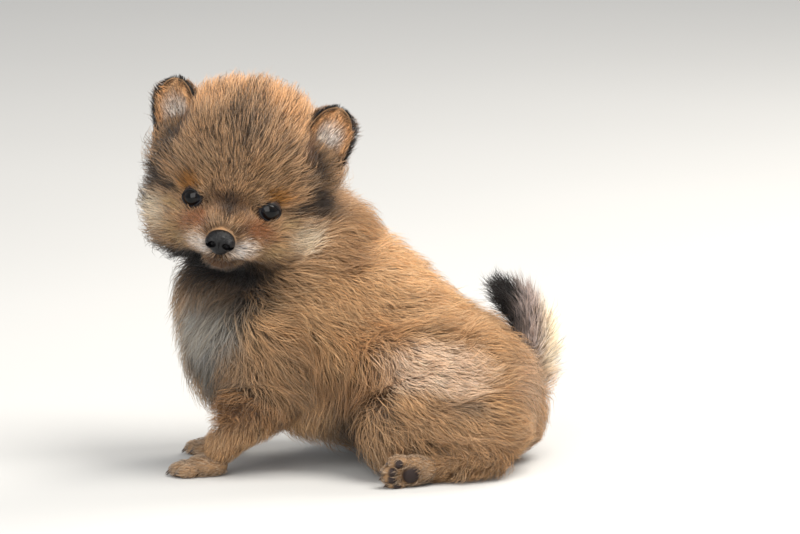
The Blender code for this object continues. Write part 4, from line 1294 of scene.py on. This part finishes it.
def strand_colours(base, roots, dark_share, draw):
    """Colours of root and tip for each tuft: neighbours share a tone, and some tufts are dark."""
    count = len(base)
    wisps = draw.normal(0, TONE_SPREAD, count) + 0.10 * ripple(roots, 7, 70) + 0.07 * ripple(roots, 2.5, 71)
    warmth = draw.normal(0, 0.04, count) + 0.03 * ripple(roots, 12, 72)
    shade = base * np.exp(wisps)[:, None] * (1 + warmth[:, None] * np.array((1.0, 0.0, -1.3)))
    dark = draw.random(count) < dark_share
    shade = np.where(dark[:, None], shade * DARK_HAIR, shade)
    return np.stack((shade * ROOT_SHADE, shade * TIP_SHADE), axis=1)


def add_pieces(store, zone, path, width, colours, places):
    """Cuts a zone's tufts into meshes under the limit of triangles."""
    per_tuft = len(tuft_triangles(path.shape[1] - 1))
    most = MOST_TRIANGLES // per_tuft
    pieces = max(math.ceil(len(path) / most), 1)
    order = np.arange(len(path)) % pieces
    for piece in range(pieces):
        chosen = order == piece
        name = f"coat_{zone}_{piece + 1}"
        store.append(tuft_mesh(name, path[chosen], width[chosen], colours[chosen], places[chosen]))


def bare_skin(points):
    """Where no hair grows: lids, nose, the line of the mouth and the pads."""
    head = in_head(points)
    nose = np.linalg.norm((head - np.array(NOSE_PLACE)) / (np.array(NOSE_RADII) + 0.6), axis=1) < 1
    eyes = (to_eye(points) < EYE_BARE) & (head[:, 0] > 12)
    mouth = (head[:, 0] > 30) & (mouth_depth(points) > 1.0)
    return nose | eyes | mouth


def fanned(normals, flow, roots, length, draw):
    """Straight spines that stand out between the lie of the coat and the skin's normal."""
    lean = draw.uniform(0.25, 1.0, (len(roots), 1))
    direction = unit(normals * lean + flow * 1.0 + draw.normal(0, 0.14, roots.shape))
    reach = np.array(STATIONS)[None, :, None] * (length * 1.25)[:, None, None]
    return roots[:, None, :] - normals[:, None, :] * ROOT_SINK + direction[:, None, :] * reach


def shortened_to_box(path, box):
    """Shortens the tufts that would pass the lowest and highest corners in box."""
    root = path[:, :1]
    reach = path - root
    room = np.where(reach > 0, box[1] - root, box[0] - root)
    moving = np.abs(reach) > 0.01
    share = np.where(moving, room / np.where(moving, reach, 1), 1)
    return root + reach * np.clip(share.min(axis=(1, 2)), 0, 1)[:, None, None]


def hair_spines(coat, roots, index, guard, box, draw):
    """The spine of each tuft on the head, body, legs and tail, inside box and above the floor."""
    skin = coat.skin
    count = len(roots)
    depth = coat.depth[index]
    travel = coat.travel[index] * draw.uniform(0.75, 1.2, count)
    level = np.where(guard, draw.uniform(*GUARD_LEVEL, count), draw.uniform(*UNDER_LEVEL, count))
    wander = draw.normal(0, 1, count) * np.interp(depth, (2, 12), (0.18, 0.36))
    wander += SWIRL * ripple(roots, SWIRL_SIZE, 40) * (1 - coat.head[index]) * (1 - coat.tail[index])
    path = coat_paths(skin, coat.depth, coat.flow, roots, index, travel, level, wander)
    brush = fanned(skin.normals[index], coat.flow[index], roots, TAIL_COAT * level, draw)
    path += (brush - path) * coat.tail[index, None, None]
    path = wavy(path, np.minimum(depth * 0.14, 2.0)[:, None, None], 12)
    path = wavy(path, np.minimum(depth * 0.05, 0.7)[:, None, None], 4.5)
    strength = smoothstep(2, 12, depth)[:, None, None] * 0.38 + 0.1
    path = shortened_to_box(clumped(path, strength, 10, draw), box)
    path[:, :, 2] = np.maximum(path[:, :, 2], FLOOR_CLEARANCE)
    return path


def zones_of(coat, roots, index):
    """The part of the coat that each root belongs to."""
    on_part = [coat.tail[index] > 0.5, coat.leg[index] > 0.5, coat.head[index] > 0.5, roots[:, 1] < 0]
    return np.select(on_part, ["tail", "legs", "head", "front"], "back")


def skin_coat(coat, unwrap, box, draw):
    """The coat of the head, body, legs and tail: a dense undercoat, and longer guard hair over it."""
    roots, index = coat.skin.scatter(coat.density[coat.skin.triangles[:, 0]], draw)
    kept = ~bare_skin(roots)
    roots, index = roots[kept], index[kept]
    count = len(roots)
    depth = coat.depth[index]
    guard = (draw.random(count) < GUARD_SHARE) & (depth > SHORT_COAT)
    path = hair_spines(coat, roots, index, guard, box, draw)
    width = np.interp(depth, (2, 6, 17), (0.20, 0.24, 0.29)) * draw.uniform(0.75, 1.25, count)
    seen = path[:, 2] * 0.4 + path[:, 3] * 0.6 + draw.normal(0, MARK_BLUR, (count, 3))
    colours = strand_colours(coat.colours(seen, index), roots, coat.dark[index], draw)
    places = unwrap.places(roots)
    zones = zones_of(coat, roots, index)
    pieces = []
    for zone in ("head", "front", "back", "legs", "tail"):
        for word, chosen in (("guard", guard), ("under", ~guard)):
            chosen = chosen & (zones == zone)
            if chosen.any():
                spine = path[chosen] if word == "guard" else shortened(path[chosen])
                add_pieces(pieces, f"{zone}_{word}", spine, width[chosen], colours[chosen], places[chosen])
    return pieces


def shortened(path):
    """A spine of three points instead of four."""
    return np.stack((path[:, 0], (path[:, 1] + path[:, 2]) / 2, path[:, 3]), axis=1)


def paw_coat(unwrap, draw):
    """Short hair on the feet, but not on their soles."""
    rows = []
    items = []
    for stance in PAWS:
        _, ahead, _, sole = paw_frame(stance)
        item = make_paw(stance)
        surface = surface_of(item)
        surface.soften_normals(3)
        items.append(item)
        flow = np.tile(np.array(ahead), (len(surface.points), 1))
        flow = flattened(flow, surface.normals)
        roots, index = surface.scatter(np.full(len(surface.triangles), PAW_DENSITY), draw)
        on_pad = np.zeros(len(roots), bool)
        for centre, radii in pad_places(stance):
            on_pad |= np.linalg.norm(roots - np.array(centre), axis=1) < max(radii) * 0.95
        kept = ~on_pad & (roots[:, 2] > 0.5)
        roots, index = roots[kept], index[kept]
        count = len(roots)
        depth = np.full(len(surface.points), PAW_COAT)
        travel = draw.uniform(2.8, 5.0, count)
        level, wander = draw.uniform(0.5, 1.1, count), draw.normal(0, 0.25, count)
        path = shortened(coat_paths(surface, depth, flow, roots, index, travel, level, wander))
        path[:, :, 2] = np.maximum(path[:, :, 2], FLOOR_CLEARANCE)
        colours = strand_colours(plain("paw", count), roots, LEG_DARK, draw)
        rows.append((path, draw.uniform(0.2, 0.32, count), colours, unwrap.places(roots)))
    pieces = []
    add_pieces(pieces, "paws", *(np.concatenate(parts) for parts in zip(*rows)))
    return pieces, items


def ear_coat(side, unwrap, draw):
    """Dark short hair behind the ear, and light hair that fills its cup and comes over its rim."""
    rows, columns = EAR_HAIR_GRID
    grid, (rise, facing, across) = ear_grid(side, rows, columns)
    normals = grid_normals(grid, facing)
    triangles = np.array(grid_triangles(rows, columns))
    up = np.repeat(np.linspace(0, 1, rows), columns)
    over = np.tile(np.linspace(-1, 1, columns), rows)
    pieces = []
    for name, turn, tall, astray in (("inner", 1, EAR_FILL, 0.16), ("outer", -1, EAR_COAT, 0.34)):
        surface = Surface((grid + normals * turn * 0.9).reshape(-1, 3), triangles)
        surface.normals = (normals * turn).reshape(-1, 3)
        flow = rise[None] + across[None] * (over * (0.4 + 0.8 * up))[:, None]
        flow = flattened(flow, surface.normals)
        depth = np.full(len(up), tall) * (1.1 - 0.5 * up)
        roots, index = surface.scatter(np.full(len(triangles), EAR_DENSITY[name]), draw)
        count = len(roots)
        travel = draw.uniform(4.0, 9.0, count) * (1 - 0.6 * smoothstep(0.7, 1.0, up[index]))
        level, wander = draw.uniform(0.4, 1.1, count), draw.normal(0, astray, count)
        path = coat_paths(surface, depth, flow, roots, index, travel, level, wander)
        path = beyond_rim(path, flow[index], travel, up[index], over[index])
        path = shortened(clumped(path, 0.22, 8, draw))
        base = ear_colours(name, up[index], over[index])
        colours = strand_colours(base, roots, EAR_DARK, draw)
        width = draw.uniform(0.18, 0.30, count)
        add_pieces(pieces, f"ear_{SIDES[side]}_{name}", path, width, colours, unwrap.places(roots))
    return pieces


def beyond_rim(path, flow, travel, up, over):
    """Near the rim the hair goes straight on instead of stopping at the edge of the sheet."""
    rim = np.maximum(smoothstep(0.75, 1.0, up), smoothstep(0.75, 1.0, np.abs(over)))[:, None, None]
    along = np.array(STATIONS)[None, :, None] * travel[:, None, None] * 0.8
    straight = path[:, :1] + flow[:, None, :] * along
    return path + (straight - path) * rim * 0.8


def ear_colours(face, up, over):
    """Black towards the rim, orange and white in the cup, and dark at the root."""
    rim = np.maximum(np.abs(over) ** 2.5, smoothstep(0.80, 1.0, up))
    if face == "outer":
        return towards(plain("umber", len(up)), "black", smoothstep(0.25, 0.8, rim))
    colours = plain("orange", len(up)) * 0.9
    middle = (1 - smoothstep(0.15, 0.75, np.abs(over))) * (1 - smoothstep(0.50, 0.78, up))
    colours = towards(colours, "white", middle)
    colours = towards(colours, "black brown", 1 - smoothstep(0.22, 0.42, up))
    return towards(colours, "black", smoothstep(0.74, 0.98, rim))


# Materials


def new_material(name):
    material = bpy.data.materials.new(name)
    material.use_nodes = True
    tree = material.node_tree
    return material, tree, tree.nodes["Principled BSDF"]


def add_node(tree, kind, **settings):
    node = tree.nodes.new(kind)
    for key, value in settings.items():
        if key in node.inputs:
            node.inputs[key].default_value = value
        else:
            setattr(node, key, value)
    return node


def mixed(tree, factor, first, second):
    """A colour between two sockets or colours, by a factor socket or number."""
    mix = add_node(tree, "ShaderNodeMix", data_type="RGBA")
    for socket, value in ((mix.inputs[0], factor), (mix.inputs[6], first), (mix.inputs[7], second)):
        if isinstance(value, bpy.types.NodeSocket):
            tree.links.new(value, socket)
        elif isinstance(value, tuple):
            socket.default_value = (*value, 1)
        else:
            socket.default_value = value
    return mix.outputs[2]


def grain(tree, kind, **settings):
    """A texture that is fixed to the piece it is on."""
    texture = add_node(tree, kind, **settings)
    tree.links.new(add_node(tree, "ShaderNodeTexCoord").outputs["Object"], texture.inputs["Vector"])
    return texture


def set_finish(shader, roughness, gloss=0.5):
    shader.inputs["Roughness"].default_value = roughness
    shader.inputs["Specular IOR Level"].default_value = gloss


def add_bump(tree, shader, height, strength, distance, inverted=False):
    """Bumps of the given strength and distance in metres, from a height socket."""
    bump = add_node(tree, "ShaderNodeBump", Strength=strength, Distance=distance, invert=inverted)
    tree.links.new(height, bump.inputs["Height"])
    tree.links.new(bump.outputs["Normal"], shader.inputs["Normal"])


def coat_material():
    """Hair: the tuft's own colour, with fine lighter and darker streaks."""
    material, tree, shader = new_material("fur")
    colour = add_node(tree, "ShaderNodeVertexColor", layer_name="Coat")
    noise = grain(tree, "ShaderNodeTexNoise", Scale=420.0, Detail=2.0)
    ramp = add_node(tree, "ShaderNodeMapRange")
    ramp.inputs["To Min"].default_value = 0.78
    ramp.inputs["To Max"].default_value = 1.22
    tree.links.new(noise.outputs["Fac"], ramp.inputs["Value"])
    scale = add_node(tree, "ShaderNodeVectorMath", operation="SCALE")
    tree.links.new(colour.outputs["Color"], scale.inputs[0])
    tree.links.new(ramp.outputs["Result"], scale.inputs["Scale"])
    tree.links.new(scale.outputs["Vector"], shader.inputs["Base Color"])
    set_finish(shader, 0.62, 0.16)
    shader.inputs["Sheen Weight"].default_value = 0.12
    shader.inputs["Sheen Roughness"].default_value = 0.4
    return material


def skin_material():
    """Skin under the coat: the coat's marking, darker, with a fine grain."""
    material, tree, shader = new_material("skin")
    colour = add_node(tree, "ShaderNodeVertexColor", layer_name="Coat")
    noise = grain(tree, "ShaderNodeTexNoise", Scale=900.0, Detail=4.0)
    dark = mixed(tree, noise.outputs["Fac"], (0.75, 0.72, 0.70), (1.0, 1.0, 1.0))
    product = add_node(tree, "ShaderNodeVectorMath", operation="MULTIPLY")
    tree.links.new(colour.outputs["Color"], product.inputs[0])
    tree.links.new(dark, product.inputs[1])
    tree.links.new(product.outputs["Vector"], shader.inputs["Base Color"])
    add_bump(tree, shader, noise.outputs["Fac"], 0.5, 0.0003)
    set_finish(shader, 0.7, 0.25)
    return material


def leather_material(name, colour, light, scale, roughness, strength, gloss):
    """Moist pebbled skin, as on the nose and the lids."""
    material, tree, shader = new_material(name)
    cells = grain(tree, "ShaderNodeTexVoronoi", Scale=scale)
    tree.links.new(mixed(tree, cells.outputs["Distance"], light, colour), shader.inputs["Base Color"])
    add_bump(tree, shader, cells.outputs["Distance"], strength, 0.0004, inverted=True)
    set_finish(shader, roughness, gloss)
    return material


def eye_material():
    """A wet eyeball in its painted colours."""
    material, tree, shader = new_material("eyeball")
    colour = add_node(tree, "ShaderNodeVertexColor", layer_name="Coat")
    tree.links.new(colour.outputs["Color"], shader.inputs["Base Color"])
    set_finish(shader, 0.04, 0.22)
    return material


def horn_material():
    """Dark mottled horn."""
    material, tree, shader = new_material("horn")
    noise = grain(tree, "ShaderNodeTexNoise", Scale=600.0, Detail=3.0)
    mottled = mixed(tree, noise.outputs["Fac"], linear(34, 28, 26), linear(92, 78, 68))
    tree.links.new(mottled, shader.inputs["Base Color"])
    set_finish(shader, 0.35)
    return material


# Putting it together


def settle(item, shift, material, slot, *replaced):
    """Moves a finished piece from the anatomy's frame to the model's and ties it to the body."""
    item.data.transform(Matrix.Translation(shift))
    item.data.materials.clear()
    item.data.materials.append(material)
    item.data.polygons.foreach_set("use_smooth", np.ones(len(item.data.polygons), bool))
    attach(item, "root")
    if replaced:
        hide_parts(*replaced)


def model_shift(frame):
    """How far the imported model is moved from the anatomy's own frame, in metres, read from its left eye."""
    points = np.array([vertex.co for vertex in frame["nodes"]["eye_left"].data.vertices])
    middle = np.unique(points.round(6), axis=0).mean(axis=0)
    return Vector(middle) - on_head(EYE_PLACE) * MM


def add_camera(shift):
    """The photo's long lens, some metres away from the puppy."""
    right = Vector((math.cos(CAMERA_AZIMUTH), math.sin(CAMERA_AZIMUTH), 0))
    back = Vector((math.sin(CAMERA_AZIMUTH) * math.cos(CAMERA_ELEVATION), 0, math.sin(CAMERA_ELEVATION)))
    back.y = -math.cos(CAMERA_AZIMUTH) * math.cos(CAMERA_ELEVATION)
    up = back.cross(right)
    centre = right * VIEW_RIGHT + up * VIEW_UP
    data = bpy.data.cameras.new("camera")
    data.lens = CAMERA_LENS
    data.sensor_width = 36
    data.clip_start = 0.1
    data.clip_end = 20
    camera = bpy.data.objects.new("camera", data)
    bpy.context.scene.collection.objects.link(camera)
    matrix = Matrix((right, up, back)).transposed().to_4x4()
    matrix.translation = (centre + back * CAMERA_DISTANCE) * MM + shift
    camera.matrix_world = matrix
    bpy.context.scene.camera = camera


def add_light(name, place, size, power, colour):
    """A square soft light that faces the middle of the puppy."""
    data = bpy.data.lights.new(name, "AREA")
    data.size = size
    data.energy = power
    data.color = colour
    light = bpy.data.objects.new(name, data)
    bpy.context.scene.collection.objects.link(light)
    place = Vector(place)
    aim = place - Vector((0, 0, 0.1))
    light.matrix_world = Matrix.Translation(place) @ axis_matrix(aim, (0, 1, 0.01)).to_4x4()


def add_studio():
    """A plain pale floor, soft lights and an even surround."""
    bpy.context.scene.view_settings.view_transform = "Standard"
    half = FLOOR_SIZE / 2
    mesh = bpy.data.meshes.new("studio_floor")
    corners = [(-half, -half, 0), (half, -half, 0), (half, half, 0), (-half, half, 0)]
    mesh.from_pydata(corners, [], [(0, 1, 2, 3)])
    floor = linked(mesh)
    material, tree, shader = new_material("studio_floor")
    noise = add_node(tree, "ShaderNodeTexNoise", Scale=40.0)
    shade = mixed(tree, noise.outputs["Fac"], (0.52, 0.52, 0.51), (0.55, 0.55, 0.54))
    tree.links.new(shade, shader.inputs["Base Color"])
    set_finish(shader, 0.8)
    mesh.materials.append(material)
    world = bpy.context.scene.world or bpy.data.worlds.new("world")
    bpy.context.scene.world = world
    world.use_nodes = True
    surround = world.node_tree.nodes["Background"]
    surround.inputs["Color"].default_value = (0.97, 0.98, 1.0, 1)
    surround.inputs["Strength"].default_value = 0.55
    for light in LIGHTS:
        add_light(*light)


def colour_skin(item, coat):
    """Paints the skin with the coat's colours and their painted shade, dark at the lids, lips and pads."""
    points = vertex_rows(item.data) / MM
    _, normals, index = coat.skin.nearest(points)
    colours = coat.colours(points + normals * coat.depth[index, None] * 0.8, index) * 0.55
    head = in_head(points)
    dark = np.clip(1 - smoothstep(7.5, 10.5, to_eye(points)), 0, 1) * (head[:, 0] > 10)
    dark = np.maximum(dark, smoothstep(0.3, 0.9, mouth_depth(points)))
    for stance in PAWS:
        for centre, radii in pad_places(stance):
            away = np.linalg.norm(points - np.array(centre), axis=1)
            dark = np.maximum(dark, 1 - smoothstep(max(radii) * 0.8, max(radii) * 1.15, away))
    paint_points(item, towards(colours, "leather", dark))


def hair_box(cad_box, shift):
    """The lowest and highest corners that hair may reach, in the anatomy's frame."""
    low, high = (np.array(corner) / MM - np.array(shift) / MM for corner in cad_box)
    grown = (high - low) * BOX_GROWTH
    return low - grown * np.array((1, 1, 0)), high + grown


def off_torso(points):
    """How far each point of the skin stands off the flesh of the head and body, as on a leg or the tail."""
    item = voxelised("torso_only", torso_pieces(), TORSO_VOXEL, TORSO_SMOOTHING)
    torso = surface_of(item)
    discard(item)
    index = torso.nearest(points)[2]
    return np.linalg.norm(points - torso.points[index], axis=1) - TORSO_VOXEL / 2


def coated_skin(cad_box, shift):
    """The whole skin in one piece, and the pieces of coat that grow on it."""
    draw = np.random.default_rng(SEED)
    body = make_body_skin()
    skin = surface_of(body)
    skin.soften_normals(10)
    coat = Coat(skin, off_torso(skin.points))
    ears = [make_ear(side) for side in SIDES]
    unwrap = Unwrap(body)
    pieces = skin_coat(coat, unwrap, hair_box(cad_box, shift), draw)
    feet, paws = paw_coat(unwrap, draw)
    pieces += feet
    for side in SIDES:
        pieces += ear_coat(side, unwrap, draw)
    body = merged("skin", [body, *ears, *paws])
    colour_skin(body, coat)
    return body, pieces


def main():
    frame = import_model()
    cad_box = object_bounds()
    shift = model_shift(frame)
    body, pieces = coated_skin(cad_box, shift)
    hidden = [name for name in frame["nodes"] if not name.startswith(("eye", "nose"))]
    settle(body, shift, skin_material(), "coat", *hidden)
    fur = coat_material()
    for piece in pieces:
        settle(piece, shift, fur, "coat")
    eye_finish = eye_material()
    lid_finish = leather_material("lid", linear(10, 9, 9), linear(24, 20, 20), 1800, 0.45, 0.4, 0.3)
    for side, word in SIDES.items():
        settle(make_eye(side), shift, eye_finish, "eye", f"eye_{word}")
        settle(make_lids(side), shift, lid_finish, "coat")
    nose_finish = leather_material("nose", linear(5, 5, 6), linear(17, 16, 18), 1500, 0.36, 0.6, 0.28)
    settle(make_nose(), shift, nose_finish, "nose", "nose")
    settle(make_claws(), shift, horn_material(), "leg")
    add_camera(shift)
    add_studio()


main()
